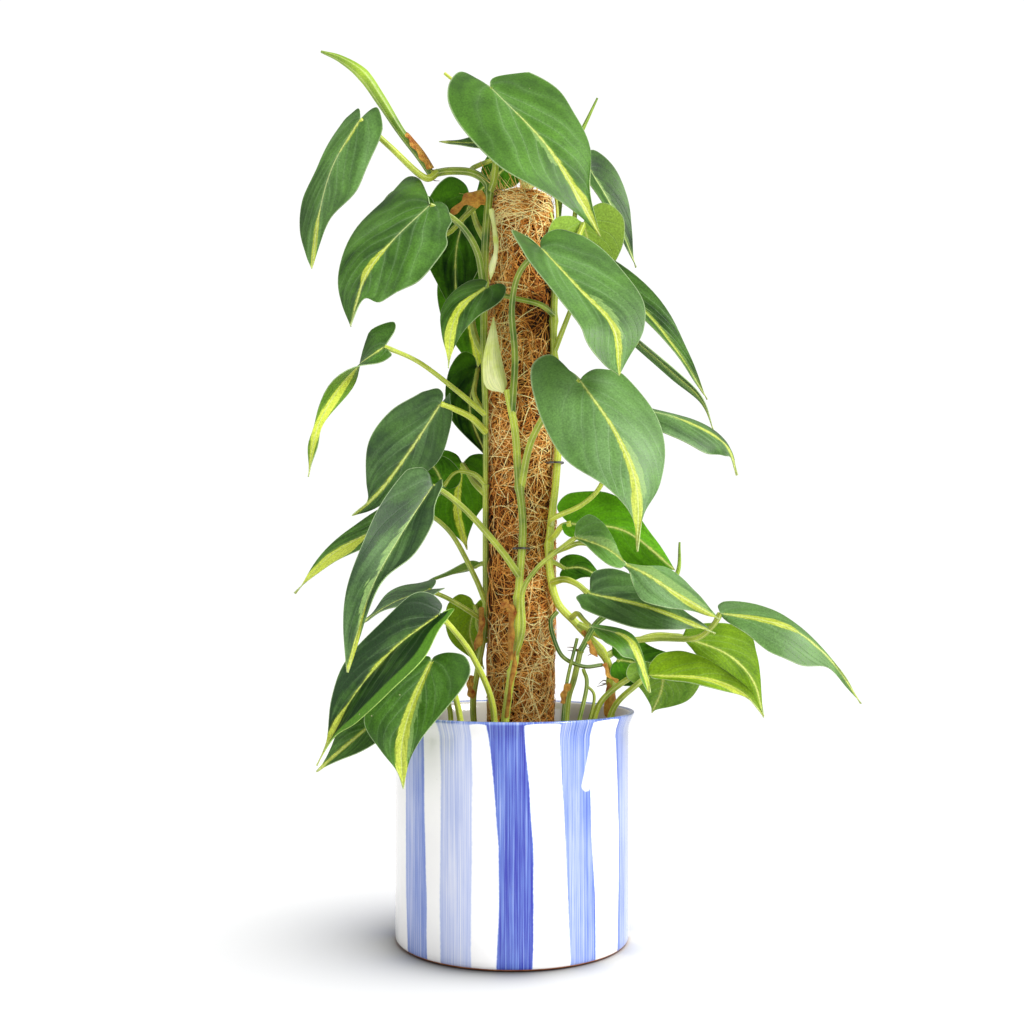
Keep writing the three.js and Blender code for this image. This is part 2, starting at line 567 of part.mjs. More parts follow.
function thicken(points, sheet) {
  const skin = surface(points, sheet);
  skin.computeVertexNormals();
  const normals = skin.attributes.normal;
  const shift = (sign) => points.map((p, index) => {
    const normal = new THREE.Vector3().fromBufferAttribute(normals, index);
    return p.clone().addScaledVector(normal, sign * BLADE_THICKNESS / 2);
  });
  const count = points.length;
  const faces = [...sheet, ...sheet.map(([a, b, c]) => [a + count, c + count, b + count])];
  const edges = new Set(sheet.flatMap(([a, b, c]) => [`${a} ${b}`, `${b} ${c}`, `${c} ${a}`]));
  for (const edge of edges) {
    const [a, b] = edge.split(' ').map(Number);
    if (!edges.has(`${b} ${a}`)) {
      faces.push([b, a, a + count], [b, a + count, b + count]);
    }
  }
  return solidOf(surface([...shift(1), ...shift(-1)], faces));
}

function stalkPoints(leaf) {
  const rooted = leaf.from === 'soil';
  return [...stemPoints(leaf.stalk, rooted), seen(leaf.rib[0])];
}

function stalkSolid(leaf, extra) {
  const points = stalkPoints(leaf);
  const radiusAt = (t) => between(STALK_RADII, t) + extra;
  return rod(spline(points), radiusAt, STALK_SIDES, points.length + 1);
}

function potSolid() {
  const inner = POT_RADIUS - POT_WALL;
  const lip = POT_RADIUS + LIP_FLARE;
  const profile = [
    [0, 0], [POT_RADIUS - FOOT_BEVEL, 0], [POT_RADIUS, FOOT_BEVEL],
    [POT_RADIUS, POT_HEIGHT - LIP_HEIGHT], [lip - LIP_ROUND, POT_HEIGHT - 2 * LIP_ROUND],
    [lip, POT_HEIGHT - LIP_ROUND], [lip - LIP_ROUND, POT_HEIGHT],
    [inner + LIP_FLARE, POT_HEIGHT - 2 * LIP_ROUND], [inner, POT_HEIGHT - MOUTH_TAPER],
    [inner, POT_FLOOR + FOOT_BEVEL], [inner - FOOT_BEVEL, POT_FLOOR], [0, POT_FLOOR],
  ];
  const rings = profile.slice(1, -1).map(([radius, z]) => {
    const ring = [];
    for (let side = 0; side < POT_SIDES; side += 1) {
      const angle = (side / POT_SIDES) * TURN;
      ring.push(new THREE.Vector3(radius * Math.cos(angle), radius * Math.sin(angle), z));
    }
    return ring;
  });
  return solidOf(loft(rings));
}

// Soil: a plug that fills the pot up to a gently uneven surface
function soilSolid(holes) {
  const radius = POT_RADIUS - POT_WALL - CLEARANCE;
  const bump = (x, y) => SOIL_BUMP * Math.sin(x * 0.16 + 1) * Math.cos(y * 0.19);
  const ringAt = (r, z) => {
    const ring = [];
    for (let side = 0; side < POT_SIDES; side += 1) {
      const angle = (side / POT_SIDES) * TURN;
      const x = r * Math.cos(angle);
      const y = r * Math.sin(angle);
      ring.push(new THREE.Vector3(x, y, z ?? SOIL_TOP + bump(x, y)));
    }
    return ring;
  };
  const floor = POT_FLOOR + CLEARANCE;
  const rings = [
    ringAt(radius - FOOT_BEVEL, floor), ringAt(radius, floor + FOOT_BEVEL), ringAt(radius),
    ringAt(radius / 2),
  ];
  return holes.reduce((soil, hole) => soil.subtract(hole), solidOf(loft(rings)));
}

// Coir: a rough sleeve with a frayed round top, open below for the stake
function coirRing(radius, z) {
  const ring = [];
  for (let side = 0; side < POLE_SIDES; side += 1) {
    const angle = (side / POLE_SIDES) * TURN;
    const rough = Math.sin(angle * 5 + z * 0.11) + Math.sin(angle * 3 - z * 0.073 + 1);
    const r = radius + COIR_RELIEF * 0.5 * rough;
    ring.push(new THREE.Vector3(POLE_X + r * Math.cos(angle), r * Math.sin(angle), z));
  }
  return ring;
}

function coirSolid(cuts) {
  const foot = SOIL_TOP - POLE_FOOT_IN_SOIL;
  const rings = [];
  for (let ring = 0; ring <= POLE_RINGS; ring += 1) {
    const part = ring / POLE_RINGS;
    const z = THREE.MathUtils.lerp(foot, POLE_TOP - POLE_TOP_ROUND, part);
    const bulge = COIR_BULGE * (Math.sin(part * Math.PI) - 0.5);
    rings.push(coirRing(POLE_RADIUS + bulge, z));
  }
  rings.push(coirRing(POLE_RADIUS - POLE_TOP_ROUND / 2, POLE_TOP - POLE_TOP_ROUND / 4));
  rings.push(coirRing(POLE_RADIUS - 1.5 * POLE_TOP_ROUND, POLE_TOP));
  const sleeve = solidOf(loft(rings)).subtract(stakeSolid(CLEARANCE));
  return largest(cuts.reduce((coir, cut) => coir.subtract(cut), sleeve));
}

function stakeSolid(extra) {
  const top = POLE_TOP - STAKE_TOP_BELOW_COIR + extra;
  const bottom = POT_FLOOR + STAKE_FOOT_ABOVE_FLOOR - extra;
  const centres = [new THREE.Vector3(POLE_X, 0, bottom), new THREE.Vector3(POLE_X, 0, top)];
  return rod(spline(centres), () => STAKE_RADIUS + extra, STAKE_SIDES, 1);
}

// The round hole in the soil that the coir's foot stands in
function coirHole() {
  const radius = POLE_RADIUS + COIR_RELIEF + CLEARANCE;
  const centres = [
    new THREE.Vector3(POLE_X, 0, SOIL_TOP - POLE_FOOT_IN_SOIL - CLEARANCE),
    new THREE.Vector3(POLE_X, 0, POT_HEIGHT),
  ];
  return rod(spline(centres), () => radius, COIR_HOLE_SIDES, 1);
}

// A wire pin: over the stem, with both legs pushed into the coir
function pinSolid(pin, extra) {
  const middle = seen(pin.at);
  const out = new THREE.Vector3(middle.x - POLE_X, middle.y, 0).normalize();
  const side = new THREE.Vector3(-out.y, out.x, 0).multiplyScalar(pin.reach);
  const high = middle.clone().addScaledVector(out, PIN_OVER_STEM);
  const low = middle.clone().addScaledVector(out, -PIN_LEG_DEPTH);
  const points = [low.clone().add(side), middle.clone().add(side), high, middle.clone().sub(side),
    low.clone().sub(side)];
  return rod(spline(points), () => PIN_RADIUS + extra, PIN_SIDES, PIN_STEPS);
}

function mesh(name, solid, look) {
  const part = new THREE.Mesh(geometryOf(solid), look.clone());
  part.name = name;
  return part;
}

const LOOKS = {
  glaze: material(0xe9edf2, 0.2),
  soil: material(0x2e2119, 0.95),
  coir: material(0xa9703a, 0.95),
  wood: material(0xb98d5a, 0.8),
  stem: material(0x8fa52c, 0.5),
  leaf: material(0x3f7a2a, 0.4),
  shoot: material(0x9bbf2f, 0.45),
  pale: material(0xdfe3a0, 0.6),
  dried: material(0xb9691f, 0.8),
  wire: material(0x8a8d90, 0.35),
};

function build() {
  const plant = new THREE.Group();
  const soilHoles = [];
  const coirCuts = [stakeSolid(CLEARANCE)];
  const fatVines = {};
  for (const [name, vine] of Object.entries(VINES)) {
    fatVines[name] = vineSolid(vine, CLEARANCE);
    coirCuts.push(fatVines[name]);
    plant.add(mesh(`vine_${name}`, vineSolid(vine, 0), LOOKS.stem));
    if (vine.rooted) {
      soilHoles.push(fatVines[name]);
    }
  }
  for (const [name, leaf] of Object.entries(LEAVES)) {
    const columns = leaf.width < NARROW_BLADE ? 1 : 2;
    const whole = bladeSolid(leaf, HEART, columns).add(stalkSolid(leaf, 0));
    const own = fatVines[leaf.from];
    if (own) {
      plant.add(mesh(name, largest(whole.subtract(own)), LOOKS.leaf));
    } else {
      plant.add(mesh(name, whole, LOOKS.leaf));
      soilHoles.push(stalkSolid(leaf, CLEARANCE));
    }
  }
  for (const [name, shoot] of Object.entries(SHOOTS)) {
    const curve = spline(shoot.path.map(seen));
    const spindle = rod(curve, (t) => between(shoot.radii, t), STALK_SIDES, shoot.path.length * 2);
    plant.add(mesh(name, largest(spindle.subtract(fatVines[shoot.from])), LOOKS.shoot));
  }
  for (const [name, sheath] of Object.entries(SHEATHS)) {
    const whole = bladeSolid(sheath, LANCE, 2);
    const cut = Object.values(fatVines).reduce((rest, vine) => rest.subtract(vine), whole);
    plant.add(mesh(name, largest(cut), LOOKS[sheath.look]));
  }
  for (const [name, pin] of Object.entries(PINS)) {
    plant.add(mesh(name, pinSolid(pin, 0), LOOKS.wire));
    coirCuts.push(pinSolid(pin, CLEARANCE));
  }
  const coir = coirSolid(coirCuts);
  soilHoles.push(stakeSolid(CLEARANCE));
  plant.add(mesh('coir_pole', coir, LOOKS.coir));
  plant.add(mesh('pole_stake', stakeSolid(0), LOOKS.wood));
  plant.add(mesh('pot', potSolid(), LOOKS.glaze));
  plant.add(mesh('soil', soilSolid([...soilHoles, coirHole()]), LOOKS.soil));
  return plant;
}

export default build();
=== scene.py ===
# Potted philodendron with yellow-streaked leaves, climbing a coir pole in a glazed pot.
# The shapes are worked out in millimetres and turned into metres when a mesh is made.

import math

import bpy
import numpy as np
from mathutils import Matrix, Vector, noise


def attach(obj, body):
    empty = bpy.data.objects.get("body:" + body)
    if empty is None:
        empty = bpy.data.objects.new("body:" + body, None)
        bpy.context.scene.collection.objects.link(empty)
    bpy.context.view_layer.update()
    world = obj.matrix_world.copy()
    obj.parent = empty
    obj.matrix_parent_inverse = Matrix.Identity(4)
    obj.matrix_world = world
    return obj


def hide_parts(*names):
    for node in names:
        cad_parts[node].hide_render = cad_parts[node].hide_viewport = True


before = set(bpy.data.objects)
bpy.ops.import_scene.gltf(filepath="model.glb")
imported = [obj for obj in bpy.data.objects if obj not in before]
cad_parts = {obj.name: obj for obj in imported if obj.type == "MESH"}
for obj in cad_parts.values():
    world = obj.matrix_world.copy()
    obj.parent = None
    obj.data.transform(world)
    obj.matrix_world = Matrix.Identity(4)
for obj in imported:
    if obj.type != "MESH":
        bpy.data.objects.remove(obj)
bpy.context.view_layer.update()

MM = 0.001
TURN = 2 * math.pi
rng = np.random.default_rng(7)

# Sizes of the part in millimetres
POT_RADIUS = 75
POT_HEIGHT = 146
POT_WALL = 4
POT_FLOOR = 6
LIP_FLARE = 3.5
LIP_HEIGHT = 5
MOUTH_TAPER = 15
FOOT_BEVEL = 2.5
SOIL_TOP = 124
SOIL_BUMP = 1.6
POLE_X = 5.8
POLE_RADIUS = 21
POLE_TOP = 479
POLE_FOOT = 94
POLE_TOP_ROUND = 8
COIR_BULGE = 1.6
COIR_RELIEF = 0.45
CORE_BELOW_FIBRES = 1.5
BLADE_THICKNESS = 0.6
STALK_RADII = [1.9, 1.5, 1.3]
WIDE_LEAF = 38
WIDE_STALK = 1.25
KNOT_SWELL = 0.3
KNOT_LENGTH = 0.012
VINE_TAPER = 0.12
STEM_SLIMMER = 0.86
ROOTED_DEPTH = 18
STRAIGHT_ABOVE_SOIL = 4
VIEWER_DISTANCE = 773
VIEWER_HEIGHT = 218
PIN_RADIUS = 0.7
PIN_OVER_STEM = 4.6
PIN_LEG_DEPTH = 8
PIN_HALF_WIDTH = 4.6

# Rows of numbers from a text, with commas between the rows
def table(text):
    return [[float(number) for number in row.split()] for row in text.split(",")]


# A blade: its width, its midrib from the notch to the tip, and in the last text where the upper
# side looks, the fold and the curl of the left and the right half in degrees, and for a leaf the
# length of its lobes against the outline's, then how far they drop back, how much the margin
# waves, and how far the blade winds round its midrib
def blade_shape(width, rib, bends):
    face, fold, curl, lobes, (drop, wave, turn) = (table(bends) + [[1, 1], [0, 0, 0]])[:5]
    return dict(width=width, rib=table(rib), face=face, fold=fold, curl=curl, lobes=lobes,
                drop=drop, wave=wave, turn=turn)


# A leaf on its stalk, which runs from the stem to the notch or comes out of the soil
def leaf_shape(width, rib, stalk, bends, soil=False):
    return dict(blade_shape(width, rib, bends), stalk=table(stalk), soil=soil)


# How a leaf is painted. tone: 0 for the darkest green and 1 for the lightest, set per leaf to how
# dark or light it looks where it hangs, so it is partly the leaf's own green and partly painted
# shade and painted light. lime and pale: the streak along the midrib and the pale patch beside
# it, as place along the midrib in hundredths and the width on the left and the right half in
# millimetres. Then how much painted grey sheen veils the green, and how much brighter the lime is
# painted on leaves in shade, as painted light. rolled: 1 for the half whose margin shows its light
# underside.
def painted(tone, lime, pale="0 0 0", haze=0, glow=1, rolled=(0, 0)):
    lime, pale = ([[place / 100, *reach] for place, *reach in table(text)] for text in (lime, pale))
    return dict(tone=tone, lime=lime, pale=pale, haze=haze, glow=glow, rolled=rolled)


# Half of a blade's outline, from the notch to the tip. The text gives the corners between them,
# in hundredths of the width across and of the length along.
def half_outline(text):
    return [[0, 0], *([across / 100, along / 100] for across, along in table(text)), [0, 1]]


HEART = "11 -14, 31 -17, 46 -2, 50 20, 41 47, 20 71, 5 88"
LANCE = "30 2, 44 12, 50 28, 48 46, 40 62, 28 76, 16 87, 7 95"

# Stems: points from the lowest one up, radius, and where the leaf nodes swell them. Points are
# given as a viewer in front of the plant sees them, across and up, and how far they are in front
# of the pot's axis.
VINES = {
    "front": dict(radius=3.0, knots=[0.25, 0.5, 0.75], rooted=True, thin=1,
        path=table("-6 139 28, -1 165 28, 2 180 27, 3 205 27, 5 232 27, 7 265 27, 4 297 27, 2 325 28, "
                  "-3 352 28")),
    "left": dict(radius=3.1, knots=[0.34, 0.56, 1], rooted=False, thin=0.6,
        path=table("-17 291 11, -17 336 14, -18 375 16, -18 418 18, -17 448 18, -15 477 14, -17 486 13, "
                  "-26 492 13, -40 493 14, -52 491 15")),
    "right": dict(radius=2.9, knots=[0.154, 0.23, 0.462, 0.77, 0.846], rooted=True, thin=1,
        path=table("63 139 8, 64 160 8, 60 180 12, 42 201 15, 29 216 17, 24 240 18, 25 265 17, "
                  "28 290 15, 30 320 12, 29 350 11, 27 376 11, 27 400 12, 28 420 11, 30 445 10")),
    "back": dict(radius=2.4, knots=[0.14, 0.57, 1], rooted=True, thin=1,
        path=table("-24 139 4, -25 152 4, -22 172 3, -18 195 2, -17 215 2, -17 240 4, -17 268 8, "
                  "-17 291 11")),
    "side": dict(radius=2.4, knots=[0.33, 1], rooted=True, thin=1,
        path=table("34 139 22, 36 152 22, 40 166 24, 44 184 26")),
}

LEAVES = {
    "leaf_01": leaf_shape(63, "-14 547 22, 20 512 42, 42 478 48, 57 451 44",
        "-15 477 14, -11 490 16, -10.5 515 17, -13 540 18",
        "-0.2 -1 0.3, 28 -14, -10 -14, 1.1 0.4, 0.2 1.2 0"),
    "leaf_02": leaf_shape(33, "50 494 0, 65 468 4, 80 431 6", "29 432 10, 37 442 8, 41 468 2, 44 486 0",
        "0.55 -0.75 0.3, 20 20, 0 0, 1 1, 0 0.6 0"),
    "leaf_03": leaf_shape(50, "46 459 16, 52 438 16, 57 412 16", "28 420 11, 35 432 22, 42 449 22",
        "0.1 1 0.2, -10 -10, 0 0, 1 1, 0 0.8 0"),
    "leaf_05": leaf_shape(60, "19 443 56, 42 418 72, 65 392 82, 69 361 86",
        "0 338 28, 2 372 32, 0 405 41, 5 428 50", "0.25 -0.9 0.3, 30 4, -30 -14, 1.1 0.8, 0.15 1 0"),
    "leaf_06": leaf_shape(26, "50 430 34, 84 404 42, 107 376 42, 126 346 38",
        "27 376 11, 34 394 18, 42 414 26", "0.3 -0.8 0.5, 24 34, 0 0, 0.8 0.8, 0 1 0"),
    "leaf_07": leaf_shape(8, "82 382 42, 104 363 46, 122 346 46, 130 325 44",
        "28 420 11, 38 412 12, 60 396 24", "-0.3 -0.6 -0.8, 20 20, 0 0, 0.5 0.5, 0 0.4 0"),
    "leaf_08": leaf_shape(36, "72 341 56, 106 334 60, 136 318 58, 145 297 56",
        "25 265 17, 25 268 34, 30 271 50, 45 278 58, 57 290 60, 66 315 58",
        "0 -0.7 0.7, 10 -20, -20 -20, 0.8 0.8, 0 1.2 0"),
    "leaf_09": leaf_shape(62, "44 358 74, 67 324 90, 80 290 98, 81 248 104",
        "6 290 27, 12 318 38, 24 340 54, 36 352 66", "0.05 -1 0.2, 4 -18, -10 -16, 1.5 0.4, 0.1 1.4 0"),
    "leaf_10": leaf_shape(41, "-98 526 30, -115 497 36, -124 466 37, -129 430 32",
        "-48 492 14.5, -57 489 21, -78 508 24, -90 519 27",
        "-0.1 -1 0.2, -20 8, -10 -10, 0.3 0.6, 0.2 1 0"),
    "leaf_11": leaf_shape(62, "-53 471 50, -77 448 62, -94 426 68, -104 393 68",
        "-18 418 18, -22 440 26, -31 456 36, -43 466 44",
        "-0.1 -1 0.2, -16 2, -16 -8, 0.6 0.1, 0.2 1.2 0"),
    "leaf_12": leaf_shape(38, "-66 474 26, -82 450 34, -98 412 38",
        "-16 478 14, -30 464 14, -44 452 18, -58 464 22",
        "-0.2 -1 0.3, -8 8, -10 -10, 0.6 0.6, 0.05 1 0"),
    "leaf_13": leaf_shape(58, "-27 474 -32, -36 440 -32, -35 388 -32",
        "-17 448 18, -22 457 2, -25 466 -18", "-0.2 -1 0.2, 8 8, -8 -8, 0.8 0.8, 0 1 0"),
    "leaf_14": leaf_shape(44, "-28 424 -50, -26 392 -50, -18 350 -48",
        "-18 375 16, -24 388 4, -27 410 -24", "-0.1 -1 0.2, 8 8, -8 -8, 0.8 0.8, 0 1 0"),
    "leaf_15": leaf_shape(30, "-17 418 38, -32 406 46, -39 390 48, -41 366 46",
        "27 400 12, 18 407 30, 2 411 35, -9 414 36",
        "-0.1 -0.9 0.4, -10 10, -14 -14, 0.6 0.8, 0.1 0.8 0"),
    "leaf_17": leaf_shape(17, "-82 380 34, -104 363 38, -124 331 38, -131 296 36",
        "-17 336 14, -36 352 22, -60 370 30", "-0.3 -1 0.2, -10 -10, 0 0, 0.4 0, 0 0.4 230"),
    "leaf_18": leaf_shape(41, "-46 343 38, -65 314 42, -85 287 44, -103 271 42",
        "-17 325 14, -26 334 24, -38 340 34", "-0.1 -1 0.2, 20 -30, -10 -6, 0.5 0.5, 0.1 1.2 0"),
    "leaf_19": leaf_shape(40, "-51 290 60, -73 256 76, -92 220 88, -106 170 94",
        "5 232 27, -7 249 34, -27 272 46, -42 285 54", "-0.1 -1 0.2, 20 34, -10 -10, 0.3 0.1, 0.1 1.4 0"),
    "leaf_21": leaf_shape(24, "-64 275 30, -92 260 38, -117 245 40, -140 221 36",
        "-17 215 2, -24 232 8, -38 258 18, -52 271 26", "-0.1 -0.8 0.6, 10 10, -10 -10, 0.7 0.7, 0 1 0"),
    "leaf_22": leaf_shape(50, "-47 207 62, -76 185 72, -103 153 80, -126 110 84",
        "-11 139 32, -13 152 34, -25 180 46, -38 198 56",
        "-0.1 -1 0.3, 26 48, -10 -6, 0.8 0.35, 0.1 1.4 0", soil=True),
    "leaf_23": leaf_shape(54, "-52 177 64, -65 147 73, -71 122 80, -70 95 82",
        "-31 139 40, -36 153 44, -44 168 54", "0.1 -1 0.2, 0 28, -12 -12, 0.7 0.9, 0.1 1.2 0", soil=True),
    "leaf_24": leaf_shape(28, "-84 142 56, -104 125 62, -126 106 62",
        "-39 139 38, -42 152 40, -62 156 50", "-0.1 -0.9 0.5, 20 20, 0 0, 0.8 0.8, 0 0.8 0", soil=True),
    "leaf_25": leaf_shape(34, "-54 223 30, -76 215 36, -97 202 42", "-18 203 2, -30 211 14, -42 218 22",
        "-0.2 -0.35 0.9, 10 10, -10 -10, 1 1, 0 1 0"),
    "leaf_26": leaf_shape(36, "-24 213 -26, -27 194 -26, -18 172 -26",
        "-17 190 2, -22 200 -8, -22 208 -18", "-0.1 -1 0.3, 8 8, -8 -8, 0.8 0.8, 0 0.8 0"),
    "leaf_27": leaf_shape(37, "-22 366 -26, -27 338 -27, -14 304 -26",
        "-17 336 14, -24 348 2, -23 360 -16", "-0.1 -1 0.2, 8 8, -8 -8, 0.8 0.8, 0 0.8 0"),
    "leaf_28": leaf_shape(46, "-32 304 -26, -35 276 -27, -29 249 -26",
        "-17 285 10, -24 292 0, -29 300 -16", "-0.1 -1 0.2, 8 8, -8 -8, 0.8 0.8, 0 0.8 0"),
    "leaf_29": leaf_shape(26, "-44 290 14, -50 302 14, -62 312 14", "-17 291 11, -25 298 12, -36 299 13",
        "0 1 0.4, 8 8, 0 0, 0.8 0.8, 0 0.8 0"),
    "leaf_30": leaf_shape(20, "-24 238 -4, -40 233 -4, -58 227 -2", "-17 240 4, -20 240 0",
        "-0.1 0.2 1, 10 10, 0 0, 0.6 0.6, 0 0.6 0"),
    "leaf_31": leaf_shape(54, "38 266 40, 73 261 44, 105 236 46", "24 255 17, 28 259 26, 32 264 34",
        "0 -0.9 0.4, -46 4, -10 -10, 0.2 0.8, 0.1 1.2 0"),
    "leaf_32": leaf_shape(34, "70 241 70, 87 233 78, 107 220 82, 134 204 84",
        "24 246 18, 34 250 40, 48 253 60", "0 -0.9 0.4, 4 -30, -12 -12, 0.5 0.5, 0.1 1.4 0"),
    "leaf_33": leaf_shape(40, "49 221 48, 90 211 58, 131 195 62", "26 228 18, 34 230 32, 42 227 42",
        "0 -0.9 0.4, 24 8, -10 -10, 0.2 0.6, 0.1 1.2 0"),
    "leaf_34": leaf_shape(39, "134 208 50, 160 204 56, 184 196 58, 207 176 57, 225 150 55",
        "42 201 15, 66 191 22, 95 192 30, 118 192 42, 129 200 47",
        "0 -0.9 0.4, 14 -34, -10 -10, 0 0.5, 0.1 1.2 0"),
    "leaf_35": leaf_shape(42, "110 193 8, 138 182 12, 155 165 13, 162 141 14",
        "60 180 12, 75 188 6, 92 194 5", "0 -0.9 0.4, 6 -16, -10 -10, 0.6 0.6, 0.1 1.2 0"),
    "leaf_36": leaf_shape(42, "88 168 46, 124 166 52, 148 157 52, 162 142 50",
        "60 139 24, 66 148 29, 80 162 45", "0 -0.8 0.6, 30 0, -10 -10, 0.4 0.4, 0 1.2 0", soil=True),
    "leaf_37": leaf_shape(46, "98 172 33, 96 158 34, 90 144 35", "50 139 26, 58 152 26, 84 171 30",
        "0.1 1 0.2, -6 -6, 0 0, 0.6 0.6, 0 0.8 0", soil=True),
    "leaf_38": leaf_shape(24, "50 200 54, 76 190 70, 89 157 76", "38 205 15.5, 42 208 30, 46 204 44",
        "0.2 -0.9 0.5, 10 10, -10 -10, 0.6 0.6, 0 1 0"),
    "leaf_39": leaf_shape(34, "69 178 15, 88 176 16, 110 182 15", "62 168 11, 65 172 14",
        "0 -0.9 0.4, 8 8, -8 -8, 0.7 0.7, 0 1 0"),
    "leaf_40": leaf_shape(18, "34 237 14, 46 237 14, 62 228 16", "24 242 18, 29 240 16",
        "0 -0.9 0.4, 8 8, -8 -8, 0.6 0.6, 0 0.8 0"),
    "leaf_41": leaf_shape(32, "41 257 74, 60 250 82, 74 240 84",
        "2 180 27, 7 198 34, 7 222 35, 16 237 44, 30 249 62",
        "0 -0.9 0.4, 30 10, -10 -10, 0.3 0.8, 0 0.8 0"),
    "leaf_43": leaf_shape(16, "-6 513 2, -26 511 6, -47 512 8", "-16 480 14, -12 492 6, -8 506 1",
        "0 -0.8 0.6, 8 8, -8 -8, 0.5 0.5, 0 0.6 0"),
    "leaf_46": leaf_shape(28, "-2 497 -17, -12 488 -17, -25 476 -17", "-24 491 13, -25 495 2, -8 501 -12",
        "0.1 -1 0.3, 8 8, -8 -8, 0.8 0.8, 0 0.8 0"),
}

# The left and the right half outline of single leaves
EDGES = {
    "leaf_17": ("30 -30, 70 -40, 100 -15, 95 12, 60 36, 28 56, 14 70, 22 84",
                "10 -10, 30 -12, 45 2, 60 20, 60 40, 30 58, 14 70, 22 84"),
    "leaf_31": ("3 -36, 11 -25, 17 8, 27 25, 35 57, 27 77, 14 89",
                "10 -12, 20 -18, 39 -7, 45 24, 34 43, 18 61, 10 82"),
    "leaf_38": ("3 5, 20 14, 45 33, 45 60, 13 69, 15 83, 10 94",
                "3 3, 10 11, 17 27, 17 45, 12 61, 12 76, 7 89"),
    "leaf_35": ("5 2, 12 8, 24 17, 30 38, 23 63, 11 83, 3 94",
                "11 0, 24 1, 47 14, 64 28, 63 42, 40 53, 10 74"),
    "leaf_36": ("9 3, 7 9, 15 19, 24 32, 19 47, 6 68, 2 84",
                "9 -1, 23 1, 43 6, 49 16, 39 28, 26 45, 15 69"),
    "leaf_08": ("23 15, 32 20, 50 27, 55 43, 47 59, 16 77, 4 82",
                "25 3, 36 10, 40 21, 42 36, 45 52, 20 68, 7 80"),
    "leaf_01": ("2 -10, 12 -18, 40 -8, 59 11, 57 38, 26 63, 10 80",
                "8 -11, 23 -13, 45 -2, 58 12, 51 26, 39 45, 12 70"),
    "leaf_05": ("1 -8, 2 -17, 13 -20, 32 8, 35 38, 39 76, 21 94",
                "9 -10, 25 -14, 42 -9, 61 14, 50 53, 33 69, 15 83"),
    "leaf_09": ("2 -6, 9 -16, 34 -13, 51 6, 53 35, 25 67, 5 84",
                "7 -6, 26 -13, 50 -4, 56 22, 47 45, 27 65, 6 81"),
    "leaf_10": ("14 -27, 24 -21, 34 11, 29 38, 40 60, 34 78, 14 92",
                "2 -14, 14 -21, 36 -5, 47 14, 50 47, 20 69, 7 86"),
    "leaf_11": ("20 -20, 49 -42, 67 -40, 59 -4, 57 29, 33 69, 17 87",
                "3 -50, 13 -70, 28 0, 45 18, 47 52, 24 80, 6 82"),
    "leaf_18": ("4 -13, 18 -16, 35 1, 56 21, 57 45, 26 68, 1 81",
                "2 -12, 3 -20, 11 -10, 33 10, 45 31, 24 56, 11 83"),
    "leaf_19": ("12 -12, 28 -17, 46 -2, 49 21, 39 49, 33 69, 22 83",
                "3 -30, 8 -50, 22 4, 42 21, 42 41, 17 58, 9 76"),
    "leaf_22": ("9 -6, 27 -4, 38 7, 34 29, 33 54, 20 71, 4 87",
                "3 -10, 10 -22, 25 4, 66 30, 61 55, 39 74, 10 85"),
    "leaf_23": ("4 -4, 12 -1, 28 15, 43 37, 44 53, 21 71, 6 85",
                "2 -6, 16 -12, 36 -13, 48 1, 38 28, 20 61, 8 81"),
    "leaf_32": ("10 16, 22 23, 33 32, 45 46, 34 63, 11 81, 4 93",
                "17 15, 30 28, 56 43, 61 63, 39 78, 14 89, 9 95"),
    "leaf_33": ("6 -20, 15 -35, 24 -15, 41 16, 47 46, 23 71, 2 87",
                "10 0, 32 -3, 47 13, 42 35, 25 58, 12 76, 8 89"),
    "leaf_34": ("14 6, 25 13, 34 21, 53 37, 48 60, 14 74, 6 88",
                "6 -1, 29 -5, 47 6, 42 32, 22 51, 4 72, 2 88"),
    "leaf_41": ("4 4, 11 19, 23 36, 31 55, 33 76, 24 94, 10 99",
                "8 -6, 30 -14, 51 1, 44 27, 26 50, 8 75, 0 94"),
}

